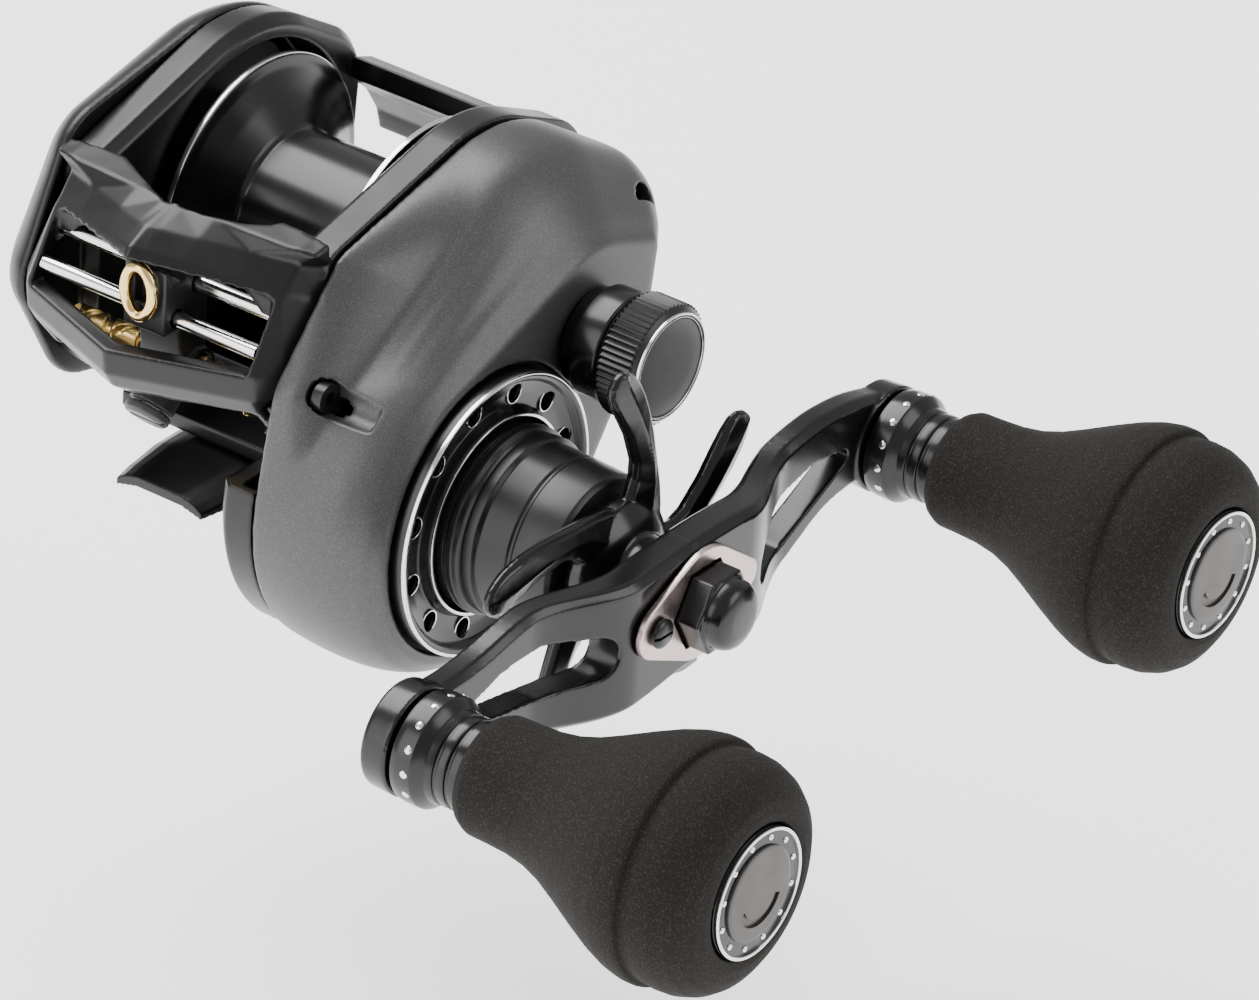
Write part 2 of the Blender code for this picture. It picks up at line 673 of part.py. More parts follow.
def cast_control_cap():
    return turned("cast_control_cap", "satin_black", SPOOL_AXIS, [
        (45.2, 7.6), (45.5, 8.0), (50.6, 8.0), (51.3, 7.2), (51.3, 6.4),
    ], [(45.2, 5.0), (49.2, 5.0), (49.2, 0.0)], MEDIUM)


def star_drag():
    """Five leaf-shaped arms that sweep out, and round, from a hub."""
    arms = 5
    hub_r, tip_r = 8.4, 27.5
    tip_angle, sweep = math.radians(94), math.radians(36)
    half_widths = ((9.6, 3.4), (13.5, 2.3), (17.5, 2.5), (21.5, 3.0), (24.8, 2.9), (26.8, 1.8))
    outline = []
    pitch = 2 * math.pi / arms
    for i in range(arms):
        ways = [(hub_r, -pitch / 2)]
        ways += [(radius, -half / radius) for radius, half in half_widths]
        ways += [(tip_r, 0.0)]
        ways += [(radius, half / radius) for radius, half in reversed(half_widths)]
        for radius, offset in ways:
            lag = sweep * ((tip_r - radius) / (tip_r - hub_r)) ** 1.6
            angle = tip_angle + i * pitch - lag + offset
            outline.append((radius * math.cos(angle), radius * math.sin(angle)))
    blades = plate("star_drag", "gloss_black", DRIVE_AXIS, [outline], 56.9, 60.4)
    join(
        blades,
        rod("star_hub", "gloss_black", DRIVE_AXIS, 56.4, 60.6, 7.4, MEDIUM),
        rod("star_neck", "gloss_black", DRIVE_AXIS, 60.0, 64.8, 5.2, MEDIUM),
    )
    return cut(blades, rod("star_bore", "gloss_black", DRIVE_AXIS, 50.0, 65.0, 3.4))


# ---------------------------------------------------------------- handle

ARM_HALF_WIDTHS = (             # half the width across Z, against the distance from the drive axis
    (0.0, 8.6), (9.0, 8.9), (20.0, 9.0), (26.0, 8.6), (31.0, 7.4), (37.0, 6.3), (43.0, 6.0), (48.8, 5.4),
)
ARM_MIDDLES = (                 # how far the rear half's middle stands above the drive axis
    (0.0, 0.0), (9.0, -0.6), (20.0, -2.6), (26.0, -0.9), (31.0, 1.4), (37.0, 2.4), (43.0, 1.8), (48.8, 0.4),
)


def between(stations, s):
    """The value at s on the straight lines through the stations."""
    for (s0, v0), (s1, v1) in zip(stations, stations[1:]):
        if s <= s1:
            return v0 + (v1 - v0) * (s - s0) / (s1 - s0)
    return stations[-1][1]


def handle_arm():
    """A double arm with an S bend: a hub that stands out, and two rails a side that meet at each knob."""
    steps = 14
    rings = []
    for i in range(-steps, steps + 1):
        s = (KNOB_REACH + 1.3) * i / steps
        half = between(ARM_HALF_WIDTHS, abs(s))
        middle = math.copysign(between(ARM_MIDDLES, abs(s)), s)
        rise = max(0.0, min(1.0, (26.0 - abs(s)) / 15.0))
        lift = (HANDLE_HUB_X - HANDLE_FACE_X) * rise * rise * (3 - 2 * rise)
        low, high = HANDLE_BACK_X + 0.75 * lift, HANDLE_FACE_X + lift
        bottom, top = middle - half, middle + half
        rings.append([(low, s, bottom), (low, s, top), (high, s, top), (high, s, bottom)])
    arm = loft("handle_arm", "gloss_black", rings, DRIVE_AXIS)
    for side in (-1, 1):
        end = (DRIVE_AXIS[0] + side * KNOB_REACH, DRIVE_AXIS[1])
        join(arm, rod("arm_boss_front" if side < 0 else "arm_boss_rear", "gloss_black", end,
                      HANDLE_BACK_X + 0.4, HANDLE_FACE_X + 0.4, 7.0, MEDIUM))
        slot = [(18.0, -3.0, 3.2), (24.0, -2.4, 3.6), (31.0, 0.2, 2.9), (37.5, 1.4, 1.2)]
        circles = [(side * s + DRIVE_AXIS[0], side * z + DRIVE_AXIS[1], r) for s, z, r in slot]
        name = "arm_slot_front" if side < 0 else "arm_slot_rear"
        cut(arm, hull_loft(name, "gloss_black", [(58.0, circles), (75.0, circles)], MEDIUM))
        bore = "arm_bore_front" if side < 0 else "arm_bore_rear"
        cut(arm, rod(bore, "gloss_black", end, 58.0, 75.0, 2.3, COARSE))
    screw_axis = (DRIVE_AXIS[0] + RETAINER_SCREW_Y, DRIVE_AXIS[1])
    return cut(
        arm,
        rod("arm_hub_bore", "gloss_black", DRIVE_AXIS, 58.0, 75.0, 2.9, COARSE),
        rod("arm_screw_bore", "gloss_black", screw_axis, 68.0, 75.0, 1.2, 12),
    )


def handle_retainer():
    """The leaf-shaped locking plate under the handle nut, with its own small screw."""
    leaf = [(0.0, 0.0, 7.4), (RETAINER_SCREW_Y, 0.0, 3.6), (8.6, 0.0, 2.4)]
    return plate("handle_retainer", "rose_aluminium", DRIVE_AXIS,
                 [hull(leaf, FINE), circle(5.9, 6), circle(1.3, 12, (RETAINER_SCREW_Y, 0.0))], 70.5, 71.3)


def retainer_screw():
    """The small screw that keeps the locking plate in place."""
    axis = (DRIVE_AXIS[0] + RETAINER_SCREW_Y, DRIVE_AXIS[1])
    return turned("retainer_screw", "steel", axis, [
        (68.4, 0.9), (71.55, 0.9), (71.6, 1.9), (72.2, 1.9), (72.5, 1.4),
    ], steps=SMALL)


def handle_nut():
    nut = turned("handle_nut", "gloss_black", DRIVE_AXIS,
                 [(70.5, 5.5), (74.4, 5.5), (74.9, 4.6), (76.7, 4.1), (77.4, 2.6)],
                 [(70.5, 3.1), (73.3, 3.1), (73.3, 0.0)], 6)
    return nut


# ---------------------------------------------------------------- knobs

def knob_spindle(name, axis):
    return turned(name, "steel", axis, [(60.1, 3.4), (60.9, 3.4), (60.9, 2.0), (109.0, 2.0)], steps=COARSE)


def knob_flange(name, axis):
    """The dotted bush and grooved neck at the inner end of a knob."""
    return turned(name, "gloss_black", axis, [
        (65.8, 6.6), (66.2, 7.0), (69.3, 7.0), (70.2, 5.9), (74.6, 5.6), (96.0, 5.6),
    ], [(65.8, 3.9), (68.6, 3.9), (68.6, 2.5), (96.0, 2.5)], MEDIUM)


def knob_grip(name, axis):
    """The foam grip: a narrow collar that swells to a stepped bulb."""
    return turned(name, "eva_foam", axis, [
        (74.9, 6.4), (76.2, 7.5), (82.0, 7.7), (87.0, 8.8), (95.5, 12.6), (99.5, 14.5),
        (102.5, 15.3), (104.3, 15.3), (104.9, 14.6), (108.5, 14.7), (112.6, 12.2), (113.4, 9.6),
    ], [(74.9, 5.9), (96.3, 5.9), (96.4, 2.5), (109.6, 2.5), (109.7, 8.5), (113.2, 8.5)], MEDIUM)


def knob_end_cap(name, axis):
    return turned(name, "satin_black", axis, [
        (110.0, 8.2), (113.6, 8.2), (114.0, 7.8), (113.8, 6.2),
    ], steps=MEDIUM)


# ---------------------------------------------------------------- line guide

GUIDE_X = 0.9                   # where the carriage stands at rest
PAWL_DIRECTION = (0.0, -math.sqrt(0.5), -math.sqrt(0.5))


def below_worm(distance):
    """A point on the pawl's axis, which leaves the worm forwards and down."""
    return (
        GUIDE_X,
        WORM_AXIS[0] + PAWL_DIRECTION[1] * distance,
        WORM_AXIS[1] + PAWL_DIRECTION[2] * distance,
    )


def peg(name, finish, near, far, radius, steps=COARSE):
    """A round peg, or hole, along the pawl's axis between two distances from the worm."""
    mesh = bpy.data.meshes.new(name)
    cone = bmesh.new()
    bmesh.ops.create_cone(cone, cap_ends=True, segments=steps, radius1=radius * MM,
                          radius2=radius * MM, depth=(far - near) * MM)
    cone.to_mesh(mesh)
    cone.free()
    tilt = Matrix.Rotation(math.radians(-45), 4, "X")
    obj = place(name, mesh, finish)
    centre = Matrix.Translation([value * MM for value in below_worm((near + far) / 2)])
    obj.matrix_world = centre @ tilt
    return obj


def line_guide_carriage():
    """The block that shuttles along the worm and the two guide bars and holds the line ring."""
    side = [
        (-31.0, 18.6), (-31.0, 33.2), (-35.0, 33.2), (-36.2, 32.4), (-38.4, 32.4), (-38.6, 34.6),
        (-39.4, 34.6), (-39.4, 25.9), (-36.4, 25.9), (-35.6, 18.6),
    ]
    low, high = GUIDE_X - 3.2, GUIDE_X + 3.2
    block = loft("line_guide_carriage", "black_plastic", [[(x, y, z) for y, z in side] for x in (low, high)])
    line_way = box("carriage_line_way", "black_plastic", (GUIDE_X - 1.6, -45.0, 29.4),
                   (GUIDE_X + 1.6, -37.7, 33.7))
    cut(block, line_way)
    join(block, rod("carriage_sleeve", "black_plastic", WORM_AXIS, low - 0.6, high + 0.6, 3.4),
         peg("carriage_pawl_tube", "black_plastic", 2.0, 6.0, 3.0))
    return cut(
        block,
        peg("carriage_pawl_bore", "black_plastic", 0.7, 9.3, 1.55, COARSE),
        rod("carriage_upper_bore", "black_plastic", GUIDE_BAR_UPPER, -6, 8, GUIDE_BAR_R + 0.3, SMALL),
        rod("carriage_lower_bore", "black_plastic", GUIDE_BAR_LOWER, -6, 8, GUIDE_BAR_R + 0.3, SMALL),
        rod("carriage_worm_bore", "black_plastic", WORM_AXIS, -6, 8, WORM_R + 0.3, COARSE),
    )


def line_guide_insert():
    """The hard oval ring that the line runs through."""
    centre = (GUIDE_X, -40.5, 31.6)
    half_width, half_height, wire_r = 2.1, 3.3, 0.75
    count = 20
    curve = bpy.data.curves.new("line_guide_insert", "CURVE")
    curve.dimensions = "3D"
    curve.bevel_depth = wire_r * MM
    curve.bevel_resolution = 1
    spline = curve.splines.new("POLY")
    spline.points.add(count - 1)
    spline.use_cyclic_u = True
    for i, point in enumerate(spline.points):
        angle = 2 * math.pi * i / count
        x = centre[0] + half_width * math.cos(angle)
        z = centre[2] + half_height * math.sin(angle)
        point.co = (x * MM, centre[1] * MM, z * MM, 1.0)
    return curve_to_mesh(place("line_guide_insert", curve, "gold_coat"))


# ---------------------------------------------------------------- clutch

def thumb_bar():
    """The spool release across the rear, with a pin at each end that runs in the side plates."""
    side = [
        (20.0, 35.2), (23.8, 33.8), (27.2, 30.6), (28.6, 26.6), (28.2, 22.8), (26.4, 22.4),
        (25.4, 25.8), (23.0, 29.4), (19.6, 32.4),
    ]
    bar = loft("thumb_bar", "satin_black", [[(x, y, z) for y, z in side] for x in (-14.2, 14.4)])
    pin = rod("thumb_pin", "satin_black", THUMB_PIN, 10.0, 17.4, 1.2, SMALL)
    lug = hull_loft("thumb_lug", "satin_black", [
        (x, [(*THUMB_PIN, 1.6), (THUMB_PIN[0] + 5.0, THUMB_PIN[1] - 3.0, 1.6)]) for x in (10.0, 14.4)
    ], COARSE)
    return join(bar, lug, pin)


def clutch_slide():
    """The plate on the gear side that the thumb bar pushes down to lift the yoke."""
    arm = [(THUMB_PIN[0] - 0.7, THUMB_PIN[1] - 0.2, 1.6), (11.4, 27.6, 1.8)]
    return hull_loft("clutch_slide", "steel", [(17.7, arm), (18.9, arm)], MEDIUM)


YOKE_SPAN = 10.0
YOKE_ANGLE = direction(SPOOL_AXIS, DRIVE_AXIS) - math.pi / 2


def yoke_post(side):
    reach = side * YOKE_SPAN
    return (SPOOL_AXIS[0] + reach * math.cos(YOKE_ANGLE), SPOOL_AXIS[1] + reach * math.sin(YOKE_ANGLE))


def pinion_yoke():
    """The fork in the pinion's groove, open on the side away from the drive gear."""
    fork = hull_loft("pinion_yoke", "steel", [
        (x, [(*SPOOL_AXIS, 5.2), (*yoke_post(-1), 2.4), (*yoke_post(1), 2.4)]) for x in (18.4, 19.6)
    ], MEDIUM)
    away = direction(DRIVE_AXIS, SPOOL_AXIS)
    mouth = (SPOOL_AXIS[0] + 9 * math.cos(away), SPOOL_AXIS[1] + 9 * math.sin(away))
    slot = [(*SPOOL_AXIS, 3.0), (*mouth, 3.0)]
    return cut(fork, hull_loft("yoke_slot", "steel", [(17.0, slot), (21.0, slot)], MEDIUM))


def yoke_spring(name, side):
    """A compression spring that returns the yoke, and with it the pinion."""
    turns, per_turn, coil_r, wire_r = 3.5, 9, 1.5, 0.25
    x_low, x_high = 20.2, 24.2
    axis = yoke_post(side)
    count = int(turns * per_turn) + 1
    curve = bpy.data.curves.new(name, "CURVE")
    curve.dimensions = "3D"
    curve.bevel_depth = wire_r * MM
    curve.bevel_resolution = 0
    curve.use_fill_caps = True
    spline = curve.splines.new("POLY")
    spline.points.add(count - 1)
    for i, point in enumerate(spline.points):
        angle = 2 * math.pi * i / per_turn
        x = x_low + (x_high - x_low) * i / (count - 1)
        y, z = axis[0] + coil_r * math.cos(angle), axis[1] + coil_r * math.sin(angle)
        point.co = (x * MM, y * MM, z * MM, 1.0)
    return curve_to_mesh(place(name, curve, "steel"))


# ---------------------------------------------------------------- palm side inner parts

def brake_plate():
    """The plate in the palm cover that seats the spool bearing and carries the brake race."""
    return turned("brake_plate", "black_plastic", SPOOL_AXIS,
                  [(-22.2, 18.8), (-21.2, 18.8), (-21.2, 10.6), (-13.7, 10.6)],
                  [(-22.2, 1.9), (-19.9, 1.9), (-19.9, 3.9), (-17.5, 3.9), (-17.5, 9.5), (-13.7, 9.5)], FINE)


def brake_dial():
    """The brake adjuster: a knob through the palm cover with a flange behind the wall."""
    return turned("brake_dial", "gloss_black", SPOOL_AXIS, [
        (-27.9, 4.4), (-27.5, 4.9), (-24.9, 4.9), (-24.9, 7.4), (-23.9, 7.4),
    ], steps=MEDIUM)


# ---------------------------------------------------------------- assembly

def build_root():
    frame_palm_ring()
    frame_gear_plate()
    frame_lower_bridge()
    frame_rear_bridge()
    front_hood()
    reel_foot()
    gear_side_cover()
    palm_side_cover()
    screw("cover_screw_front", FRONT_SCREW_AXIS, 26.6, 6.0)
    screw("cover_screw_rear", REAR_SCREW_AXIS, 28.2, 7.4)
    vent_ring()
    clutch_housing()
    cast_collar()
    brake_plate()
    bearing("spool_bearing", SPOOL_AXIS, -19.6, -17.8, 3.6, 1.8)
    bearing("pinion_bearing", SPOOL_AXIS, 14.9, 17.3, 5.0, 3.7)
    bearing("drive_shaft_bearing", DRIVE_AXIS, 14.9, 17.3, 5.0, 3.3)
    bearing("anti_reverse_bearing", DRIVE_AXIS, 43.0, 52.6, 7.7, 4.9)
    rod("guide_bar_upper", "polished_silver", GUIDE_BAR_UPPER, -16.6, 16.6, GUIDE_BAR_R, SMALL)
    rod("guide_bar_lower", "polished_silver", GUIDE_BAR_LOWER, -16.6, 16.6, GUIDE_BAR_R, SMALL)


def build_moving_bodies():
    pivot("spool_pivot", [spool(), spool_shaft(), brake_rotor()], SPOOL_AXIS)
    pivot("brake_dial_pivot", [brake_dial()], SPOOL_AXIS)
    pivot("thumb_bar_slide", [thumb_bar(), clutch_slide()], THUMB_PIN)
    springs = [yoke_spring("yoke_spring_upper", 1), yoke_spring("yoke_spring_lower", -1)]
    pivot("yoke_slide", [pinion_yoke(), *springs], SPOOL_AXIS)
    pivot("pinion_pivot", [pinion_gear()], SPOOL_AXIS)
    pivot("cast_cap_pivot", [cast_control_cap()], SPOOL_AXIS)
    pivot("worm_pivot", [worm_shaft(), worm_gear()], WORM_AXIS)
    pivot("guide_slide", [
        line_guide_carriage(),
        line_guide_insert(),
        peg("guide_pawl", "steel", 2.75, 6.0, 1.3, SMALL),
        peg("pawl_cap", "steel", 6.3, 7.7, 3.0, COARSE),
    ], WORM_AXIS)
    pivot("handle_pivot", [
        drive_shaft(),
        drive_gear(),
        ratchet_wheel(),
        level_wind_cog(),
        washer("drag_washer_carbon", "carbon_fibre", 23.5, 24.1, 16.2),
        washer("drag_washer_steel", "steel", 24.4, 25.2, 16.2),
        washer("drag_pressure_plate", "steel", 25.5, 27.2, 15.4),
        anti_reverse_sleeve(),
        handle_arm(),
        handle_retainer(),
        retainer_screw(),
        handle_nut(),
        knob_spindle("knob_spindle_front", KNOB_FRONT_AXIS),
        knob_spindle("knob_spindle_rear", KNOB_REAR_AXIS),
    ], DRIVE_AXIS)
    pivot("star_drag_pivot", [star_drag()], DRIVE_AXIS)
    for end, axis in (("front", KNOB_FRONT_AXIS), ("rear", KNOB_REAR_AXIS)):
        pivot(f"knob_{end}_pivot", [
            knob_flange(f"knob_{end}_flange", axis),
            bearing(f"knob_{end}_bearing", axis, 65.9, 68.3, 3.6, 2.3, COARSE),
            knob_grip(f"knob_{end}_grip", axis),
            knob_end_cap(f"knob_{end}_end_cap", axis),
        ], axis)


build_root()
build_moving_bodies()
for piece in REEL.objects:
    if piece.type == "MESH":
        shade(piece)
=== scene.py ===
"""Looks of the low-profile baitcasting reel, built round its CAD frame.

Lengths below are in millimetres in the part's own frame: +X towards the handle, -Y towards the rod
tip, +Z up. They are scaled by MM when a mesh is made.
"""

import json
import math

import bmesh
import bpy
from mathutils import Matrix, Vector


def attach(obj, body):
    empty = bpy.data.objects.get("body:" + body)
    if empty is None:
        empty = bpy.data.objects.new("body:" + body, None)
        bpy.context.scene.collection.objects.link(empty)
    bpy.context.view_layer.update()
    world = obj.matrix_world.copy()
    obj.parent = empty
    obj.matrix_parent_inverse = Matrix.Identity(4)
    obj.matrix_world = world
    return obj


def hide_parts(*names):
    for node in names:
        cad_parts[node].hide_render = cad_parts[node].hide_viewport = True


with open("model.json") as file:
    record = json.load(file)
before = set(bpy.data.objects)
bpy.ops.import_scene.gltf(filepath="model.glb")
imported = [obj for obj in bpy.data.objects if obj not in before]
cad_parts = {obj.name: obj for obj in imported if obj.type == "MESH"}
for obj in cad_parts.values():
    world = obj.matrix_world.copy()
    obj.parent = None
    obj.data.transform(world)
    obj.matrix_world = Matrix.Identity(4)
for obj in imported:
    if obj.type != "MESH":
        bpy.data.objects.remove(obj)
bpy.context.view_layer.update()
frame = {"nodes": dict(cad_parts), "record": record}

MM = 0.001

SPOOL_AXIS = (0.0, 23.5)
DRIVE_AXIS = (-19.1, 6.9)
KNOB_REACH = 47.5
KNOB_AXES = {
    "front": (DRIVE_AXIS[0] - KNOB_REACH, DRIVE_AXIS[1]),
    "rear": (DRIVE_AXIS[0] + KNOB_REACH, DRIVE_AXIS[1]),
}
WORM_ANGLE = math.radians(140)
WORM_DISTANCE = 18.25
WORM_AXIS = (
    DRIVE_AXIS[0] + WORM_DISTANCE * math.cos(WORM_ANGLE),
    DRIVE_AXIS[1] + WORM_DISTANCE * math.sin(WORM_ANGLE),
)
GUIDE_BAR_UPPER = (-33.0, 31.0)
GUIDE_BAR_LOWER = (-36.9, 27.6)
GUIDE_X = 0.9
ROUND = 128             # segments round a turned part
OUTLINE = 144           # points round a hull outline


# ---------------------------------------------------------------- materials

def material(name, colour, roughness, metallic=0.0, **look):
    """A Principled material with optional fine bump, colour speckle, glow and roughness variation.

    look may hold bump=(scale, strength, distance_mm), speckle=(scale, second colour, amount),
    blotch=(scale, low roughness, high roughness), specular=level and glow=emission strength.
    """
    made = bpy.data.materials.new(name)
    made.use_nodes = True
    nodes, links = made.node_tree.nodes, made.node_tree.links
    shader = nodes["Principled BSDF"]
    shader.inputs["Base Color"].default_value = (*colour, 1.0)
    shader.inputs["Roughness"].default_value = roughness
    shader.inputs["Metallic"].default_value = metallic
    place = nodes.new("ShaderNodeTexCoord").outputs["Object"]

    def noise(scale, detail=2.0):
        node = nodes.new("ShaderNodeTexNoise")
        node.inputs["Scale"].default_value = scale
        node.inputs["Detail"].default_value = detail
        links.new(place, node.inputs["Vector"])
        return node.outputs["Fac"]

    if "glow" in look:
        shader.inputs["Emission Color"].default_value = (1.0, 1.0, 1.0, 1.0)
        shader.inputs["Emission Strength"].default_value = look["glow"]
    if "specular" in look:
        shader.inputs["Specular IOR Level"].default_value = look["specular"]
    if "speckle" in look:
        scale, second, amount = look["speckle"]
        ramp = nodes.new("ShaderNodeMapRange")
        ramp.inputs["From Min"].default_value = 0.62 - amount / 2
        ramp.inputs["From Max"].default_value = 0.70 - amount / 2
        links.new(noise(scale, 1.0), ramp.inputs["Value"])
        mix = nodes.new("ShaderNodeMix")
        mix.data_type = "RGBA"
        mix.inputs["A"].default_value = (*colour, 1.0)
        mix.inputs["B"].default_value = (*second, 1.0)
        links.new(ramp.outputs["Result"], mix.inputs["Factor"])
        links.new(mix.outputs["Result"], shader.inputs["Base Color"])
    if "blotch" in look:
        scale, low, high = look["blotch"]
        spread = nodes.new("ShaderNodeMapRange")
        spread.inputs["From Min"].default_value = 0.3
        spread.inputs["From Max"].default_value = 0.7
        spread.inputs["To Min"].default_value = low
        spread.inputs["To Max"].default_value = high
        links.new(noise(scale, 4.0), spread.inputs["Value"])
        links.new(spread.outputs["Result"], shader.inputs["Roughness"])
    if "bump" in look:
        scale, strength, distance = look["bump"]
        bump = nodes.new("ShaderNodeBump")
        bump.inputs["Strength"].default_value = strength
        bump.inputs["Distance"].default_value = distance * MM
        links.new(noise(scale, 3.0), bump.inputs["Height"])
        links.new(bump.outputs["Normal"], shader.inputs["Normal"])
    return made


SATIN_BLACK = material("satin_black_paint", (0.006, 0.006, 0.0065), 0.34, specular=0.4,
                       bump=(2500, 0.10, 0.02), blotch=(120, 0.28, 0.38))
GLOSS_BLACK = material("gloss_black_paint", (0.004, 0.004, 0.0045), 0.22, specular=0.45,
                       blotch=(90, 0.18, 0.28))
GRAPHITE = material("graphite_metallic_paint", (0.066, 0.064, 0.064), 0.40, 0.5,
                    speckle=(7000, (0.105, 0.102, 0.10), 0.16), bump=(5000, 0.06, 0.02))
SILVER = material("polished_silver", (0.80, 0.79, 0.78), 0.14, 1.0, blotch=(200, 0.10, 0.20))
STEEL = material("machined_steel", (0.50, 0.49, 0.48), 0.28, 1.0, blotch=(300, 0.22, 0.36))
BRASS = material("brass", (0.66, 0.46, 0.17), 0.28, 1.0, blotch=(300, 0.22, 0.36))
GOLD = material("gold_coat", (0.95, 0.68, 0.28), 0.16, 1.0, blotch=(300, 0.12, 0.22))
CARBON = material("carbon_fibre", (0.03, 0.03, 0.032), 0.6, bump=(1500, 0.3, 0.03))
PLASTIC = material("black_plastic", (0.015, 0.015, 0.016), 0.45, bump=(2000, 0.15, 0.02))
GREY_PLASTIC = material("dark_grey_plastic", (0.055, 0.055, 0.057), 0.45, bump=(2000, 0.15, 0.02))
EVA = material("eva_foam", (0.012, 0.011, 0.010), 0.88, speckle=(4200, (0.030, 0.026, 0.022), 0.12),
               bump=(1800, 0.8, 0.08), specular=0.2)
ROSE = material("rose_aluminium", (0.60, 0.50, 0.475), 0.30, 1.0, blotch=(250, 0.24, 0.38))
DISC = material("cap_disc", (0.075, 0.070, 0.066), 0.38, 0.6, blotch=(260, 0.32, 0.46))
FLOOR = material("floor", (0.96, 0.96, 0.96), 0.9, blotch=(3, 0.88, 0.92), glow=1.1)

SLOT_LOOKS = {
    "satin_black": SATIN_BLACK, "gloss_black": GLOSS_BLACK, "graphite_paint": GRAPHITE,
    "polished_silver": SILVER, "steel": STEEL, "brass": BRASS, "gold_coat": GOLD,
    "carbon_fibre": CARBON, "black_plastic": PLASTIC, "eva_foam": EVA, "rose_aluminium": ROSE,
}


# ---------------------------------------------------------------- pieces

def add(name, mesh, look, body, nodes=(), angle=35):
    """Shows a mesh as a piece that rides on a body and may stand for CAD nodes."""
    obj = bpy.data.objects.new(name, mesh)
    bpy.context.scene.collection.objects.link(obj)
    mesh.materials.clear()
    mesh.materials.append(look)
    mesh.shade_smooth()
    mesh.set_sharp_from_angle(angle=math.radians(angle))
    if nodes:
        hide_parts(*nodes)
    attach(obj, body)
    return obj


def to_mesh(shell, name):
    """Turns a bmesh into a mesh whose faces point outwards."""
    bmesh.ops.recalc_face_normals(shell, faces=shell.faces)
    mesh = bpy.data.meshes.new(name)
    shell.to_mesh(mesh)
    shell.free()
    return mesh


def fillet(points, radius, closed=False, steps=3):
    """Rounds each corner of an (x, r) profile with a short curve."""
    rounded = []
    count = len(points)
    for i, point in enumerate(points):
        if not closed and i in (0, count - 1):
            rounded.append(point)
            continue
        here = Vector(point)
        before, after = Vector(points[i - 1]), Vector(points[(i + 1) % count])
        reach = min(radius, (before - here).length * 0.45, (after - here).length * 0.45)
        start = here + (before - here).normalized() * reach
        end = here + (after - here).normalized() * reach
        for k in range(steps + 1):
            t = k / steps
            spot = start * (1 - t) ** 2 + here * 2 * t * (1 - t) + end * t ** 2
            rounded.append((spot.x, spot.y))
    return rounded


def lathe(name, axis, outer, inner=(), radius=0.2, count=ROUND, wave=None):
    """A solid of revolution about an X axis from (x, r) profiles, with rounded corners.

    wave(x, r, turn) may change the radius round the turn, for ribs and knurls.
    """
    rim = fillet(list(outer), radius)
    if inner:
        loop = fillet([*outer, *reversed(inner)], radius, closed=True)
    else:
        loop = [(outer[0][0], 0.0), *rim, (outer[-1][0], 0.0)]
    shell = bmesh.new()
    rows = []
    for x, r in loop:
        if r < 1e-6:
            rows.append([shell.verts.new((x * MM, axis[0] * MM, axis[1] * MM))])
            continue
        row = []
        for i in range(count):
            turn = 2 * math.pi * i / count
            reach = wave(x, r, turn) if wave else r
            row.append(shell.verts.new((
                x * MM,
                (axis[0] + reach * math.cos(turn)) * MM,
                (axis[1] + reach * math.sin(turn)) * MM,
            )))
        rows.append(row)
    pairs = list(zip(rows, rows[1:]))
    if inner:
        pairs.append((rows[-1], rows[0]))
    for low, high in pairs:
        for i in range(count):
            j = (i + 1) % count
            if len(low) == 1 and len(high) == 1:
                break
            if len(low) == 1:
                shell.faces.new((low[0], high[j], high[i]))
            elif len(high) == 1:
                shell.faces.new((low[i], low[j], high[0]))
            else:
                shell.faces.new((low[i], low[j], high[j], high[i]))
    return to_mesh(shell, name)


def rod(name, axis, x_low, x_high, r, count=64, radius=0.15):
    """A plain round bar or, as a cutter, a round hole, along X."""
    return lathe(name, axis, [(x_low, r), (x_high, r)], radius=radius, count=count)


def ring_profile(x, r, half_x, half_r):
    """The profile of a thin raised band round a turned part, as (outer, inner)."""
    low, high = x - half_x, x + half_x
    return [(low, r + half_r), (high, r + half_r)], [(low, r - half_r), (high, r - half_r)]


def hull(circles, count=OUTLINE):
    """The outline round a set of (y, z, radius) circles."""
    outline = []
    for i in range(count):
        angle = 2 * math.pi * i / count
        cy, cz = math.cos(angle), math.sin(angle)
        y, z, radius = max(circles, key=lambda c: c[0] * cy + c[1] * cz + c[2])
        outline.append((y + radius * cy, z + radius * cz))
    return outline


def loft(name, rings):
    """A closed solid through rings of (x, y, z) points with the same count."""
    shell = bmesh.new()
    loops = [[shell.verts.new((x * MM, y * MM, z * MM)) for x, y, z in ring] for ring in rings]
    count = len(rings[0])
    for low, high in zip(loops, loops[1:]):
        for i in range(count):
            j = (i + 1) % count
            shell.faces.new((low[i], low[j], high[j], high[i]))
    shell.faces.new(list(reversed(loops[0])))
    shell.faces.new(loops[-1])
    bmesh.ops.remove_doubles(shell, verts=shell.verts, dist=1e-7)
    bmesh.ops.triangulate(shell, faces=shell.faces)
    return to_mesh(shell, name)


def hull_loft(name, sections):
    """A closed solid through hull outlines: sections list (x, circles)."""
    return loft(name, [[(x, y, z) for y, z in hull(circles)] for x, circles in sections])


def cubic(a, b, c, d, t):
    """The Catmull-Rom cubic between b and c, at t from 0 to 1."""
    return 0.5 * (
        2 * b + (c - a) * t + (2 * a - 5 * b + 4 * c - d) * t * t + (3 * b - a - 3 * c + d) * t ** 3
    )


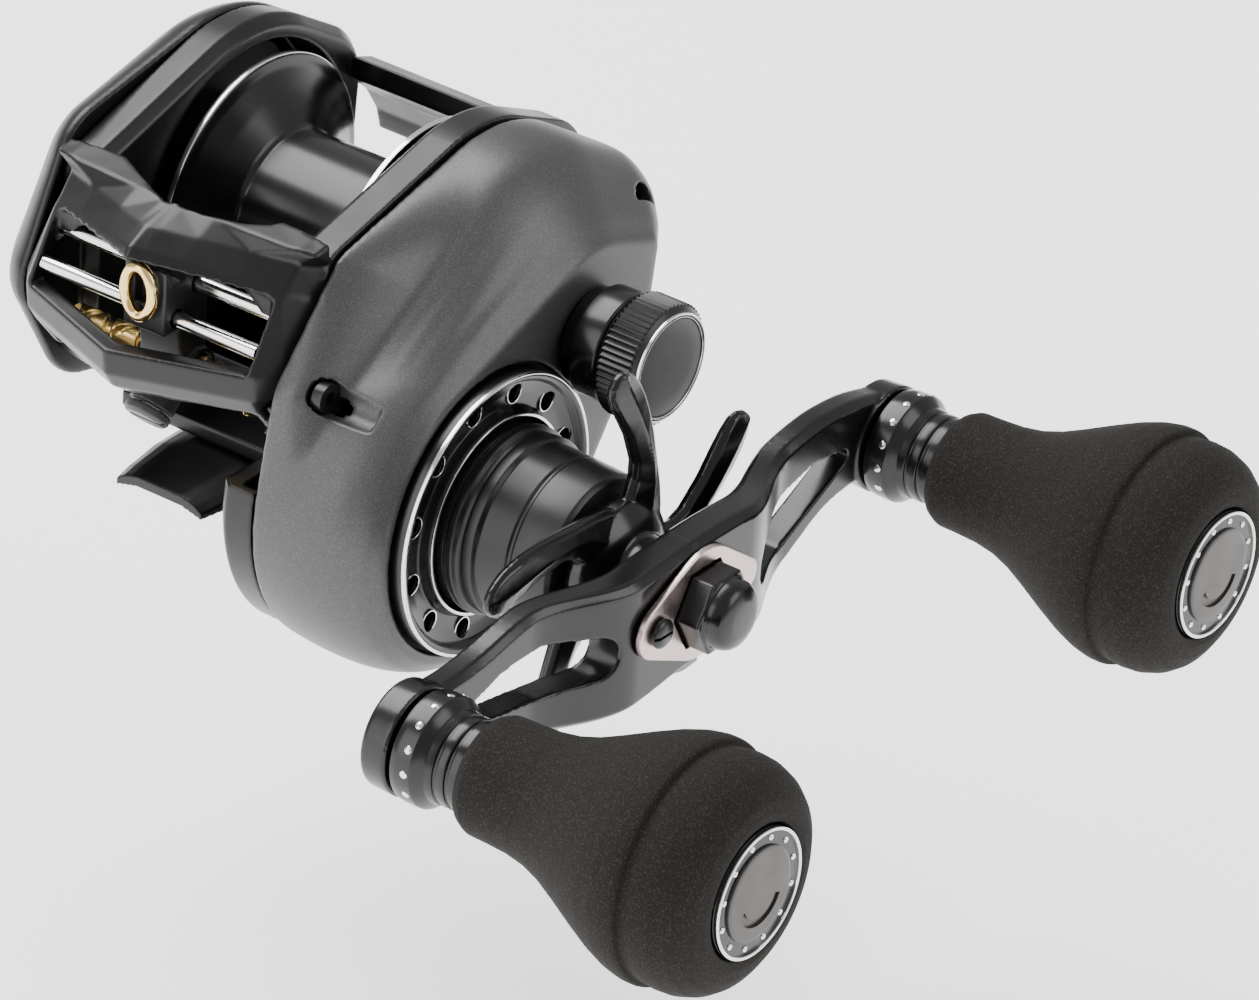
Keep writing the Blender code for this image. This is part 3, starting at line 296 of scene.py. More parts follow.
def smooth_sections(sections, steps=4):
    """More sections between the given ones, by a cubic through the circles' numbers."""
    finer = []
    count = len(sections)
    for i in range(count - 1):
        before, start = sections[max(i - 1, 0)], sections[i]
        end, after = sections[i + 1], sections[min(i + 2, count - 1)]
        for k in range(steps):
            t = k / steps
            x = start[0] + (end[0] - start[0]) * t
            circles = []
            for c0, c1, c2, c3 in zip(before[1], start[1], end[1], after[1]):
                circles.append(tuple(cubic(*numbers, t) for numbers in zip(c0, c1, c2, c3)))
            finer.append((x, circles))
    finer.append(sections[-1])
    return finer


def block(name, low, high):
    """A box between two corners."""
    shell = bmesh.new()
    size = [(b - a) * MM for a, b in zip(low, high)]
    centre = [(a + b) / 2 * MM for a, b in zip(low, high)]
    matrix = Matrix.Translation(centre) @ Matrix.Diagonal((*size, 1.0))
    bmesh.ops.create_cube(shell, size=1.0, matrix=matrix)
    return to_mesh(shell, name)


def prism(name, outline, x_low, x_high):
    """A flat piece across X from (y, z) points."""
    return loft(name, [[(x, y, z) for y, z in outline] for x in (x_low, x_high)])


def shaped(name, mesh, build):
    """Runs modifiers, which build(obj) adds, on a mesh and gives the mesh that results."""
    obj = bpy.data.objects.new(name, mesh)
    bpy.context.scene.collection.objects.link(obj)
    helpers = build(obj) or []
    bpy.context.view_layer.update()
    made = bpy.data.meshes.new_from_object(obj.evaluated_get(bpy.context.evaluated_depsgraph_get()))
    for helper in [obj, *helpers]:
        bpy.data.objects.remove(helper, do_unlink=True)
    made.name = name
    return made


def carve(name, mesh, *cutters):
    """Cuts each cutter out of a mesh."""
    def build(obj):
        helpers = []
        for cutter in cutters:
            helper = bpy.data.objects.new("helper", cutter)
            bpy.context.scene.collection.objects.link(helper)
            modifier = obj.modifiers.new("cut", "BOOLEAN")
            modifier.operation = "DIFFERENCE"
            modifier.solver = "EXACT"
            modifier.object = helper
            helpers.append(helper)
        return helpers
    return shaped(name, mesh, build)


def merged(name, meshes):
    """Several meshes as one, without fusing them."""
    shell = bmesh.new()
    for mesh in meshes:
        shell.from_mesh(mesh)
    made = bpy.data.meshes.new(name)
    shell.to_mesh(made)
    shell.free()
    return made


def cast(name, meshes, voxel=0.28, rounds=4):
    """Fuses overlapping solids into one skin with softly rounded edges."""
    def build(obj):
        remesh = obj.modifiers.new("skin", "REMESH")
        remesh.mode = "VOXEL"
        remesh.voxel_size = voxel * MM
        remesh.use_smooth_shade = True
        smooth = obj.modifiers.new("round", "SMOOTH")
        smooth.iterations = rounds
        smooth.factor = 0.5
    return shaped(name, merged(name, meshes), build)


def cad_copy(node):
    """The CAD node's own mesh, to build a look on."""
    return frame["nodes"][node].data.copy()


def wire_ring(name, points, wire_r):
    """A closed ring of round wire through (x, y, z) points."""
    curve = bpy.data.curves.new(name, "CURVE")
    curve.dimensions = "3D"
    curve.bevel_depth = wire_r * MM
    curve.bevel_resolution = 4
    spline = curve.splines.new("POLY")
    spline.points.add(len(points) - 1)
    spline.use_cyclic_u = True
    for spot, (x, y, z) in zip(spline.points, points):
        spot.co = (x * MM, y * MM, z * MM, 1.0)
    obj = bpy.data.objects.new(name, curve)
    bpy.context.scene.collection.objects.link(obj)
    bpy.context.view_layer.update()
    mesh = bpy.data.meshes.new_from_object(obj.evaluated_get(bpy.context.evaluated_depsgraph_get()))
    bpy.data.objects.remove(obj, do_unlink=True)
    return mesh


# ---------------------------------------------------------------- frame and hood

REAR_SHOULDER = (14.2, 31.0, 9.0)
PALM_RIM = [(0.0, 23.5, 22.7), (-25.4, 35.4, 4.0), (-25.4, 13.2, 4.0), REAR_SHOULDER]
PALM_FRONT = [
    (0.0, 23.5, 22.7), (-22.0, 34.0, 8.4), (-30.2, 22.5, 6.0), (-22.0, 14.6, 9.4), REAR_SHOULDER,
]
GEAR_RIM = [(0.5, 23.0, 22.0), (-19.1, 6.9, 22.4), (-25.2, 35.0, 4.0), REAR_SHOULDER]
HOOD_BACK_Y = -28.2
HOOD_OPENING = (                # the top opening's front edge, as (x, y)
    (-13.4, -26.0), (-11.1, -28.4), (-5.2, -31.6), (-1.1, -33.4), (4.3, -32.8), (9.0, -31.4),
    (12.2, -29.3), (13.8, -26.0),
)
HOOD_STATIONS = (-20.1, -17.6, -12.0, -6.0, -1.5, 0.0, 1.5, 6.0, 12.0, 17.6, 20.1)


def grown(circles, by):
    """The same circles, each wider by the given amount."""
    return [(y, z, r + by) for y, z, r in circles]


def nose_setback(x):
    """How far the hood's nose falls back at x from where it stands at the middle."""
    side = abs(x)
    if side <= 17.6:
        return 6.6 * side / 17.6
    return 6.6 + (side - 17.6) * 1.3


def hood_ring(x):
    """The hood's outside at x, from the bed over the nose to the top."""
    back = nose_setback(x)
    top_back = back * 1.25
    return [
        (x, HOOD_BACK_Y, 12.0),
        (x, -37.0 + back * 0.55, 15.0),
        (x, -43.8 + back, 19.6),
        (x, -45.4 + back, 22.0),
        (x, -45.8 + back, 25.4),
        (x, -42.6 + top_back, 36.2 - back * 0.35),
        (x, -41.6 + top_back, 37.8 - back * 0.45),
        (x, -38.5 + top_back * 0.9, 39.4 - back * 0.25),
        (x, -33.4 + back * 0.25, 40.6 - back * 0.1),
        (x, HOOD_BACK_Y, 41.2 - back * 0.1),
    ]


def hood_cavity_ring(x):
    """The hood's hollow at x, where the carriage runs."""
    back = nose_setback(x)
    top_back = back * 1.25
    return [
        (x, -26.0, 14.0),
        (x, -36.4 + back * 0.5, 15.0),
        (x, -42.6 + back, 21.8),
        (x, -43.0 + back, 25.4),
        (x, -40.4 + top_back, 34.6 - back * 0.35),
        (x, -37.6 + top_back * 0.9, 36.8 - back * 0.25),
        (x, -26.0, 38.6),
    ]


def window_ring(x):
    """The front window's outline at x."""
    back = nose_setback(x)
    return [
        (x, -50.0, 25.4),
        (x, -34.5, 25.4),
        (x, -34.5, 36.4 - back * 0.35),
        (x, -50.0, 36.4 - back * 0.35),
    ]


WORM_PORT = [(-26.0, 8.0), (-42.5, 8.0), (-42.5, 16.6), (-38.6, 19.0), (-26.0, 22.0)]
REAR_WALL_INNER_R, REAR_WALL_OUTER_R = 20.1, 22.5


def rear_wall_outline():
    """The arc of wall low behind the spool, as (y, z) points."""
    start, end, steps = math.radians(-61), math.radians(-24), 24
    angles = [start + (end - start) * i / steps for i in range(steps + 1)]
    outer = [(REAR_WALL_OUTER_R * math.cos(a), 23.5 + REAR_WALL_OUTER_R * math.sin(a)) for a in angles]
    inner = [(REAR_WALL_INNER_R * math.cos(a), 23.5 + REAR_WALL_INNER_R * math.sin(a)) for a in angles]
    return outer + inner[::-1]


def frame_meshes():
    """The solids that are fused into the visible one-piece frame."""
    bore = rod("bore", SPOOL_AXIS, -23.0, -13.0, 20.2, ROUND)
    palm = carve("palm", hull_loft("palm", [
        (-20.1, PALM_RIM), (-16.2, grown(PALM_RIM, 0.4)), (-14.6, grown(PALM_RIM, -0.8)),
    ]), bore)
    gear = carve(
        "gear",
        hull_loft("gear", [(14.8, grown(GEAR_RIM, -1.2)), (16.0, GEAR_RIM), (20.1, GEAR_RIM)]),
        hull_loft("recess", [(17.4, grown(GEAR_RIM, -1.4)), (22.0, grown(GEAR_RIM, -1.4))]),
        rod("seat", SPOOL_AXIS, 13.0, 19.0, 5.3),
        rod("shaft", DRIVE_AXIS, 13.0, 19.0, 5.3),
        block("nose", (13.0, -46.0, 11.0), (23.0, -28.4, 46.0)),
        hull_loft("slot", [(x, [(20.0, 31.5, 1.6), (20.0, 28.5, 1.6)]) for x in (13.0, 19.0)]),
    )
    bed = carve(
        "bed",
        block("bed", (-15.4, -22.5, 2.05), (15.6, 9.0, 8.0)),
        rod("hollow", SPOOL_AXIS, -17.0, 17.0, 19.85, ROUND),
        block("slope", (-17.0, -30.0, 4.2), (17.0, -12.5, 9.0)),
    )
    rear = prism("rear", rear_wall_outline(), -15.4, 15.6)
    shell = carve(
        "hood",
        loft("hood", [hood_ring(x) for x in HOOD_STATIONS]),
        loft("cavity", [hood_cavity_ring(x) for x in (-16.9, -8.0, 0.0, 8.0, 16.9)]),
        loft("window", [window_ring(x) for x in (-16.8, -8.0, 0.0, 8.0, 16.8)]),
        rod("throat", SPOOL_AXIS, -14.2, 14.4, 32.1, ROUND),
        prism("port", WORM_PORT, -16.4, 16.4),
    )
    hood = carve(
        "hood",
        cast("hood", [shell], voxel=0.24, rounds=0),
        hull_loft("gear_pocket", [(x, [(*WORM_AXIS, 4.9), (*DRIVE_AXIS, 15.2)]) for x in (17.9, 21.5)]),
        rod("bar_bore", GUIDE_BAR_UPPER, -17.0, 17.0, 1.35),
        loft("opening", [[(x, y, z) for x, y in HOOD_OPENING] for z in (36.0, 44.0)]),
    )
    return [palm, gear, bed, rear, hood]


FRAME_NODES = (
    "frame_palm_ring", "frame_gear_plate", "frame_lower_bridge", "frame_rear_bridge", "front_hood",
)
frame_skin = cast("frame_and_hood", frame_meshes(), voxel=0.26, rounds=4)
add("frame_and_hood", frame_skin, SATIN_BLACK, "reel_body", FRAME_NODES, 60)


def foot():
    """The T-shaped foot: crowned across, thinner and narrower at its two ends."""
    stations = (
        (-34.0, 6.7, 1.3), (-31.0, 7.2, 1.5), (-25.0, 7.9, 1.75), (-12.0, 8.1, 1.8),
        (12.0, 8.1, 1.8), (22.0, 7.6, 1.75), (28.0, 6.6, 1.5), (30.0, 6.0, 1.3),
    )
    rings = []
    for y, half, thick in stations:
        top = []
        for k in range(13):
            across = 1 - 2 * k / 12
            drop = 0.9 * max(0.0, (abs(across) - 0.45) / 0.55) ** 1.6
            top.append((half * across, y, thick - drop - 0.4 * max(0.0, abs(across) - 0.8) / 0.2))
        under = [(half * across, y, -0.9 * max(0.0, (abs(across) - 0.45) / 0.55))
                 for across in (-1 + 2 * k / 12 for k in range(13))]
        rings.append(under + top)
    return loft("reel_foot", rings)


foot_skin = cast("foot", [foot()], voxel=0.2, rounds=2)
add("foot", foot_skin, SATIN_BLACK, "reel_body", ("reel_foot",), 60)


# ---------------------------------------------------------------- side covers

FRONT_SCREW_AXIS = (-35.6, 24.6)
REAR_SCREW_AXIS = (15.6, 33.9)


def cover_rim(spool_r, drum_r, front, top, shoulder_r):
    """The gear cover's circles at one station: spool, drive, front, top and rear shoulder."""
    return [(1.0, 22.4, spool_r), (*DRIVE_AXIS, drum_r), front, top, (13.6, 30.2, shoulder_r)]


GEAR_COVER = [
    (20.4, cover_rim(22.3, 22.9, (-34.4, 22.6, 5.0), (-25.0, 35.0, 4.0), 9.0)),
    (24.6, cover_rim(22.4, 23.3, (-34.0, 23.0, 4.6), (-22.5, 33.4, 4.0), 9.2)),
    (29.0, cover_rim(21.6, 23.4, (-29.0, 20.4, 5.0), (-18.0, 29.6, 4.0), 9.0)),
    (33.0, cover_rim(18.8, 23.0, (-25.0, 18.0, 4.0), (-15.0, 25.0, 4.0), 7.0)),
    (36.4, cover_rim(15.0, 21.9, (-22.0, 16.0, 4.0), (-12.0, 20.0, 4.0), 3.4)),
    (38.6, cover_rim(12.0, 20.0, (-20.0, 14.0, 4.0), (-10.0, 16.0, 4.0), 0.5)),
]


def stepped_hole(axis, narrow, wide, x_high, count):
    """A cutter that is (x, radius) narrow and then, from its own x on, wide."""
    steps = [narrow, (wide[0], narrow[1]), wide, (x_high, wide[1])]
    return lathe("stepped_hole", axis, steps, radius=0.02, count=count)


def gear_cover():
    """The painted shell over the gear train, hollow, with its holes and screw seats."""
    return carve(
        "gear_cover",
        cast("gear_cover", [hull_loft("gear_cover", smooth_sections(GEAR_COVER))], voxel=0.4, rounds=20),
        hull_loft("inside", [
            (19.0, [(0.6, 22.9, 20.7), (-19.1, 6.9, 22.15)]),
            (28.0, [(1.2, 21.6, 20.2), (-19.1, 6.9, 22.15)]),
            (31.5, [(1.4, 20.6, 16.4), (-19.1, 6.9, 20.8)]),
            (34.0, [(1.4, 20.6, 13.0), (-19.1, 6.9, 19.4)]),
            (36.0, [(1.0, 21.5, 9.0), (-19.1, 6.9, 17.5)]),
        ]),
        rod("cast_hole", SPOOL_AXIS, 25.0, 43.0, 5.45),
        stepped_hole(DRIVE_AXIS, (32.6, 12.9), (37.2, 18.9), 42.0, ROUND),
        stepped_hole(FRONT_SCREW_AXIS, (19.0, 1.2), (24.4, 2.2), 33.0, 64),
        stepped_hole(REAR_SCREW_AXIS, (19.0, 1.2), (25.9, 2.2), 35.0, 64),
    )


cover_skin = cast("gear_cover", [gear_cover()], voxel=0.26, rounds=5)
add("gear_cover", cover_skin, GRAPHITE, "reel_body", ("gear_side_cover",), 60)


def palm_rim(spool, top, nose, chin, shoulder):
    """The palm cover's outline at one station, in the order that PALM_FRONT has."""
    return [spool, top, nose, chin, shoulder]


PALM_COVER = [
    (-27.0, palm_rim(
        (-1.0, 23.5, 17.6), (-17.0, 30.0, 7.0), (-24.0, 22.5, 5.0), (-17.0, 17.5, 7.5), (12.0, 30.0, 5.0),
    )),
    (-26.0, palm_rim(
        (-0.8, 23.5, 19.6), (-18.6, 31.5, 7.4), (-26.4, 22.5, 5.4), (-18.6, 16.6, 8.2), (12.6, 30.2, 6.6),
    )),
    (-24.0, palm_rim(
        (-0.4, 23.5, 21.6), (-20.6, 33.2, 8.0), (-28.8, 22.5, 5.8), (-20.6, 15.4, 9.0), (13.4, 30.6, 8.0),
    )),
    (-21.6, PALM_FRONT),
    (-20.4, PALM_FRONT),
]


def palm_cover():
    """The black shell on the palm side, hollow, with a hole for the brake dial."""
    outside = hull_loft("palm_cover", smooth_sections(PALM_COVER))
    inside = hull_loft("inside", [
        (-25.2, [(-0.8, 23.5, 17.0), (-17.0, 30.0, 5.0), (-17.0, 17.5, 5.0)]),
        (-23.0, [(-0.4, 23.5, 19.6), (-19.0, 31.5, 6.0), (-19.0, 16.0, 6.0)]),
        (-19.0, [(0.0, 23.5, 20.2), (-20.0, 32.0, 6.4), (-20.0, 15.4, 6.8)]),
    ])
    return carve("palm_cover", outside, inside, rod("dial_hole", SPOOL_AXIS, -28.5, -23.5, 5.3))


palm_skin = cast("palm_cover", [palm_cover()], voxel=0.28, rounds=4)
add("palm_cover", palm_skin, SATIN_BLACK, "reel_body", ("palm_side_cover",), 60)


def screw_look(name, axis, x_head, length):
    """A countersunk screw with a six-sided socket."""
    body = lathe(name, axis, [
        (x_head - length, 0.9), (x_head - 1.9, 0.9), (x_head - 1.5, 1.9), (x_head, 1.9),
    ], radius=0.15, count=48)
    socket = lathe("socket", axis, [(x_head - 0.8, 0.95), (x_head + 1.0, 0.95)], radius=0.01, count=6)
    add(name + "_look", carve(name, body, socket), SATIN_BLACK, "reel_body", (name,))


screw_look("cover_screw_front", FRONT_SCREW_AXIS, 26.6, 6.0)
screw_look("cover_screw_rear", REAR_SCREW_AXIS, 28.2, 7.4)


def brake_dial_look():
    """The brake adjuster, ribbed where it stands out of the palm cover."""
    ribs = 36

    def knurl(x, r, turn):
        return r - (0.22 * (0.5 + 0.5 * math.cos(ribs * turn)) if x < -25.1 and r > 4.2 else 0.0)

    return lathe("brake_dial_look", SPOOL_AXIS, [
        (-27.9, 3.6), (-27.9, 4.4), (-27.5, 4.9), (-24.9, 4.9), (-24.9, 7.4), (-23.9, 7.4),
    ], count=ribs * 6, wave=knurl)


add("brake_dial_look", brake_dial_look(), GLOSS_BLACK, "brake_dial_group", ("brake_dial",))


# ---------------------------------------------------------------- spool group

def spool_looks():
    """The spool's drum, and the bright band on the edge of each flange."""
    outer = [
        (-13.2, 19.1), (-12.3, 19.1), (-12.0, 17.6), (-10.6, 14.5), (-8.6, 10.9), (-8.0, 10.5),
        (8.0, 10.5), (8.6, 10.9), (10.6, 14.5), (12.0, 17.6), (12.3, 19.1), (13.2, 19.1),
    ]
    inner = [
        (-13.2, 17.8), (-11.6, 14.2), (-9.4, 9.2), (-1.0, 9.2), (-1.0, 2.55),
        (1.0, 2.55), (1.0, 9.2), (9.4, 9.2), (11.6, 14.2), (13.2, 17.8),
    ]
    add("spool_drum", lathe("spool_drum", SPOOL_AXIS, outer, inner, 0.5), GLOSS_BLACK, "spool_group",
        ("spool",), 30)
    for x, side in ((-12.75, "palm"), (12.75, "gear")):
        rim = lathe(f"spool_rim_{side}", SPOOL_AXIS,
                    [(x - 0.4, 19.12), (x + 0.4, 19.12)], [(x - 0.4, 18.75), (x + 0.4, 18.75)], 0.12)
        add(f"spool_rim_{side}", rim, SILVER, "spool_group", ())


spool_looks()


# ---------------------------------------------------------------- outside of the gear side

def vent_ring_look():
    """The dished ring with its drilled holes, each with a bright lip, and its two bright edges."""
    ring = lathe("vent_ring_look", DRIVE_AXIS, [
        (37.5, 18.4), (40.1, 18.4), (40.4, 17.9), (40.2, 17.4), (39.4, 16.9), (38.9, 15.3), (38.7, 13.6),
        (39.6, 13.3), (40.3, 13.1), (40.3, 12.8),
    ], [(37.5, 12.6), (40.3, 12.6)], 0.25, 192)
    holes, count = [], 12
    for i in range(count):
        angle = 2 * math.pi * (i + 0.5) / count
        centre = (DRIVE_AXIS[0] + 15.3 * math.cos(angle), DRIVE_AXIS[1] + 15.3 * math.sin(angle))
        holes.append(rod("hole", centre, 36.5, 41.5, 1.3, 32, 0.02))
        lip = lathe("hole_lip", centre, [(38.5, 1.5), (39.05, 1.5)], [(38.5, 1.28), (39.05, 1.28)], 0.08, 40)
        add(f"vent_hole_lip_{i:02d}", lip, SILVER, "reel_body", ())
    drilled = carve("vent_ring_look", ring, *holes)
    add("vent_ring_look", drilled, GLOSS_BLACK, "reel_body", ("vent_ring",))
    for name, x, r, half_x, half_r in (
        ("vent_ring_edge", 40.15, 18.2, 0.33, 0.2),
        ("vent_ring_inner_edge", 40.1, 12.85, 0.35, 0.22),
    ):
        outer, inner = ring_profile(x, r, half_x, half_r)
        edge = lathe(name, DRIVE_AXIS, outer, inner, 0.12, 192)
        add(name, edge, SILVER, "reel_body", ())


vent_ring_look()

housing = lathe("clutch_housing_look", DRIVE_AXIS, [
    (36.3, 12.2), (39.0, 12.2), (39.2, 11.9), (41.4, 11.9), (41.6, 12.2), (42.6, 12.2), (42.9, 11.6),
    (43.6, 11.5), (43.8, 11.7), (45.2, 11.7), (45.5, 11.1), (49.6, 10.95), (49.8, 10.75), (50.2, 10.75),
    (50.4, 10.9), (55.4, 10.7), (56.0, 10.2),
], [(36.3, 8.0), (53.0, 8.0), (53.1, 5.6), (56.0, 5.6)], 0.15, 160)
add("clutch_housing_look", housing, SATIN_BLACK, "reel_body", ("clutch_housing",), 25)

collar = lathe("cast_collar_look", SPOOL_AXIS, [
    (33.6, 5.0), (39.0, 5.0), (39.0, 6.3), (40.9, 6.3), (40.9, 7.2), (44.6, 7.2), (44.9, 6.9),
], [(33.6, 3.0), (38.0, 3.0), (38.1, 3.9), (44.9, 3.9)], 0.2)
add("cast_collar_look", collar, GLOSS_BLACK, "reel_body", ("cast_collar",), 25)


def cast_cap_look():
    """The knurled cap, its bright ring and its plain face."""
    ribs = 60

    def knurl(x, r, turn):
        if r < 7.0 or x < 45.7 or x > 50.4:
            return r
        return r - 0.32 * (0.5 + 0.5 * math.cos(ribs * turn))

    cap = lathe("cast_cap_look", SPOOL_AXIS, [
        (45.2, 7.3), (45.4, 7.6), (45.7, 7.9), (45.8, 8.0), (48.0, 8.0), (50.3, 8.0), (50.4, 7.7),
        (50.9, 7.1), (51.0, 6.0), (50.8, 0.6),
    ], radius=0.08, count=ribs * 6, wave=knurl)
    add("cast_cap_look", cap, SATIN_BLACK, "cast_cap_group", ("cast_control_cap",), 40)
    outer, inner = ring_profile(50.95, 6.75, 0.28, 0.3)
    ring = lathe("cast_cap_ring", SPOOL_AXIS, outer, inner, 0.14)
    add("cast_cap_ring", ring, SILVER, "cast_cap_group", ())
    rim_to_middle = [(50.4, 6.3), (51.1, 6.3), (51.15, 4.0), (51.2, 0.5)]
    face = lathe("cast_cap_face", SPOOL_AXIS, rim_to_middle, radius=0.1)
    add("cast_cap_face", face, GRAPHITE, "cast_cap_group", ())


cast_cap_look()


STAR_ARMS = 5
STAR_TIP_R, STAR_HUB_R = 27.5, 8.4
STAR_TIP_ANGLE, STAR_SWEEP = math.radians(94), math.radians(36)


def star_arm(tip_angle):
    """One leaf of the star: a ridged blade that sweeps round and widens towards its rounded tip."""
    section = (
        (-1.0, -0.25), (-0.85, 0.45), (0.0, 1.0), (0.85, 0.45),
        (1.0, -0.25), (0.8, -0.9), (0.0, -1.0), (-0.8, -0.9),
    )
    rings = []
    stations = ((6.4, 4.4, 1.5), (8.6, 3.9, 1.5), (11.0, 2.9, 1.5), (13.5, 2.3, 1.45), (17.5, 2.5, 1.4),
                (20.5, 2.9, 1.35), (22.8, 3.1, 1.3), (24.8, 2.9, 1.15), (26.0, 2.3, 1.0), (27.0, 1.3, 0.8),
                (27.45, 0.35, 0.6))
    for reach, half, thick in stations:
        inwards = max(0.0, STAR_TIP_R - reach) / (STAR_TIP_R - STAR_HUB_R)
        along = tip_angle - STAR_SWEEP * inwards ** 1.6
        ring = []
        for side, height in section:
            y = reach * math.cos(along) - side * half * math.sin(along)
            z = reach * math.sin(along) + side * half * math.cos(along)
            ring.append((58.6 + height * thick, DRIVE_AXIS[0] + y, DRIVE_AXIS[1] + z))
        rings.append(ring)
    return loft("star_arm", rings)


def star_look():
    """The star: its arms and hub, with a neck that reaches the handle."""
    arms = [star_arm(STAR_TIP_ANGLE + 2 * math.pi * i / STAR_ARMS) for i in range(STAR_ARMS)]
    hub = lathe("star_hub", DRIVE_AXIS, [
        (56.6, 8.2), (57.4, 8.8), (59.2, 8.8), (60.6, 7.0), (61.6, 5.3), (64.7, 5.1),
    ], [(56.6, 3.5), (64.7, 3.5)], 0.4)
    return cast("star_look", [*arms, hub], voxel=0.2, rounds=4)


add("star_look", star_look(), GLOSS_BLACK, "star_drag_group", ("star_drag",), 60)


# ---------------------------------------------------------------- handle

HANDLE_BACK_X, HANDLE_FACE_X, HANDLE_HUB_X = 61.2, 65.0, 70.2
RETAINER_SCREW_AXIS = (DRIVE_AXIS[0] - 9.0, DRIVE_AXIS[1])


def between(stations, s):
    """The value at s on the straight lines through the stations."""
    for (s0, v0), (s1, v1) in zip(stations, stations[1:]):
        if s <= s1:
            t = (s - s0) / (s1 - s0)
            return v0 + (v1 - v0) * t
    return stations[-1][1]


def smoothed(stations, s, reach=4.0, count=9):
    """The same value averaged over a few millimetres each way, so that the outline has no corners."""
    spread = [reach * (2 * k / (count - 1) - 1) for k in range(count)]
    return sum(between(stations, abs(s + step)) for step in spread) / count


# Against the distance from the drive axis: half the arm's width across Z, and how high the middle of
# its rear and its front half stands above the drive axis
ARM_HALF_WIDTHS = (
    (0.0, 8.6), (9.0, 8.9), (20.0, 9.0), (26.0, 8.6), (31.0, 7.4), (37.0, 6.3), (43.0, 6.0), (48.8, 5.4),
)
REAR_MIDDLES = (
    (0.0, -0.6), (9.0, -1.0), (20.0, -2.4), (26.0, -0.9), (31.0, 1.4), (37.0, 2.4), (43.0, 1.8),
    (48.8, 0.4),
)
FRONT_MIDDLES = (
    (0.0, -0.6), (9.0, -1.4), (20.0, -1.8), (26.0, -1.4), (31.0, -1.2), (37.0, -1.4), (43.0, -1.0),
    (48.8, 0.0),
)
REAR_SLOT = ((18.0, -3.0, 3.2), (24.0, -2.4, 3.6), (31.0, 0.2, 2.9), (37.5, 1.4, 1.2))
FRONT_SLOT = ((17.0, -1.6, 2.9), (24.0, -1.4, 3.6), (31.0, -1.0, 2.9), (37.5, -1.2, 1.2))


def handle_look():
    """The double arm: bowed out at its hub, with a bend and a slot in each half."""
    rings = []
    steps = 60
    for i in range(-steps, steps + 1):
        s = (KNOB_REACH + 1.3) * i / steps
        half = smoothed(ARM_HALF_WIDTHS, abs(s))
        middle = smoothed(FRONT_MIDDLES if s < 0 else REAR_MIDDLES, abs(s))
        rise = max(0.0, min(1.0, (26.0 - abs(s)) / 15.0))
        lift = (HANDLE_HUB_X - HANDLE_FACE_X) * rise * rise * (3 - 2 * rise)
        low, high = HANDLE_BACK_X + 0.75 * lift, HANDLE_FACE_X + lift
        rings.append([(x, DRIVE_AXIS[0] + s, DRIVE_AXIS[1] + middle + z) for x, z in (
            (low, -half + 0.5), (low, half - 0.5), (low + 0.6, half), (high - 0.9, half),
            (high, half - 0.9), (high, -half + 0.9), (high - 0.9, -half), (low + 0.6, -half),
        )])
    arm = loft("handle", rings)
    cutters = [
        rod("hub_bore", DRIVE_AXIS, 58.0, 75.0, 2.9),
        rod("screw_bore", RETAINER_SCREW_AXIS, 68.0, 75.0, 1.2),
    ]
    bosses = []
    for side, axis, slot in ((-1, KNOB_AXES["front"], FRONT_SLOT), (1, KNOB_AXES["rear"], REAR_SLOT)):
        circles = [(side * s + DRIVE_AXIS[0], z + DRIVE_AXIS[1], r) for s, z, r in slot]
        cutters.append(hull_loft("slot", [(58.0, circles), (75.0, circles)]))
        cutters.append(rod("knob_bore", axis, 58.0, 75.0, 2.3))
        boss = lathe("boss", axis, [(61.6, 6.8), (65.4, 7.0)], [(61.6, 2.3), (65.4, 2.3)], 0.3)
        bosses.append(boss)
    return cast("handle_look", [carve("handle", arm, *cutters), *bosses], voxel=0.26, rounds=3)


add("handle_look", handle_look(), GLOSS_BLACK, "handle_group", ("handle_arm",), 60)


def retainer_look():
    """The leaf-shaped locking plate and its small slotted screw."""
    leaf = hull([(0.0, 0.0, 7.4), (-9.0, 0.0, 3.6), (8.6, 0.0, 2.4)])
    outline = [(DRIVE_AXIS[0] + y, DRIVE_AXIS[1] + z) for y, z in leaf]
    plate = prism("retainer", outline, 70.5, 71.3)
    hexagon = lathe("hexagon", DRIVE_AXIS, [(69.5, 5.9), (72.5, 5.9)], radius=0.01, count=6)
    made = carve("retainer", plate, hexagon, rod("screw", RETAINER_SCREW_AXIS, 69.5, 72.5, 1.3))
    leaf_skin = cast("retainer_look", [made], voxel=0.14, rounds=2)
    add("retainer_look", leaf_skin, ROSE, "handle_group", ("handle_retainer",), 60)
    head = lathe("retainer_screw_look", RETAINER_SCREW_AXIS, [
        (68.4, 0.9), (71.55, 0.9), (71.6, 1.9), (72.1, 1.9), (72.5, 1.3),
    ], radius=0.15, count=48)
    slot = block("slot", (72.0, RETAINER_SCREW_AXIS[0] - 2.5, RETAINER_SCREW_AXIS[1] - 0.22),
                 (73.5, RETAINER_SCREW_AXIS[0] + 2.5, RETAINER_SCREW_AXIS[1] + 0.22))
    slotted = carve("retainer_screw_look", head, slot)
    add("retainer_screw_look", slotted, SATIN_BLACK, "handle_group", ("retainer_screw",))


retainer_look()


def nut_look():
    """The domed nut: a hexagon with a round dome fused on it."""
    hexagon = lathe("nut", DRIVE_AXIS, [(70.5, 5.5), (74.5, 5.5)], [(70.5, 3.0), (74.5, 3.0)], 0.02, 6)
    dome = lathe("dome", DRIVE_AXIS, [
        (73.4, 4.6), (75.6, 4.5), (76.7, 4.0), (77.3, 2.6), (77.4, 1.0),
    ], radius=0.6, count=64)
    return cast("nut_look", [hexagon, dome], voxel=0.16, rounds=3)


add("nut_look", nut_look(), GLOSS_BLACK, "handle_group", ("handle_nut",), 60)


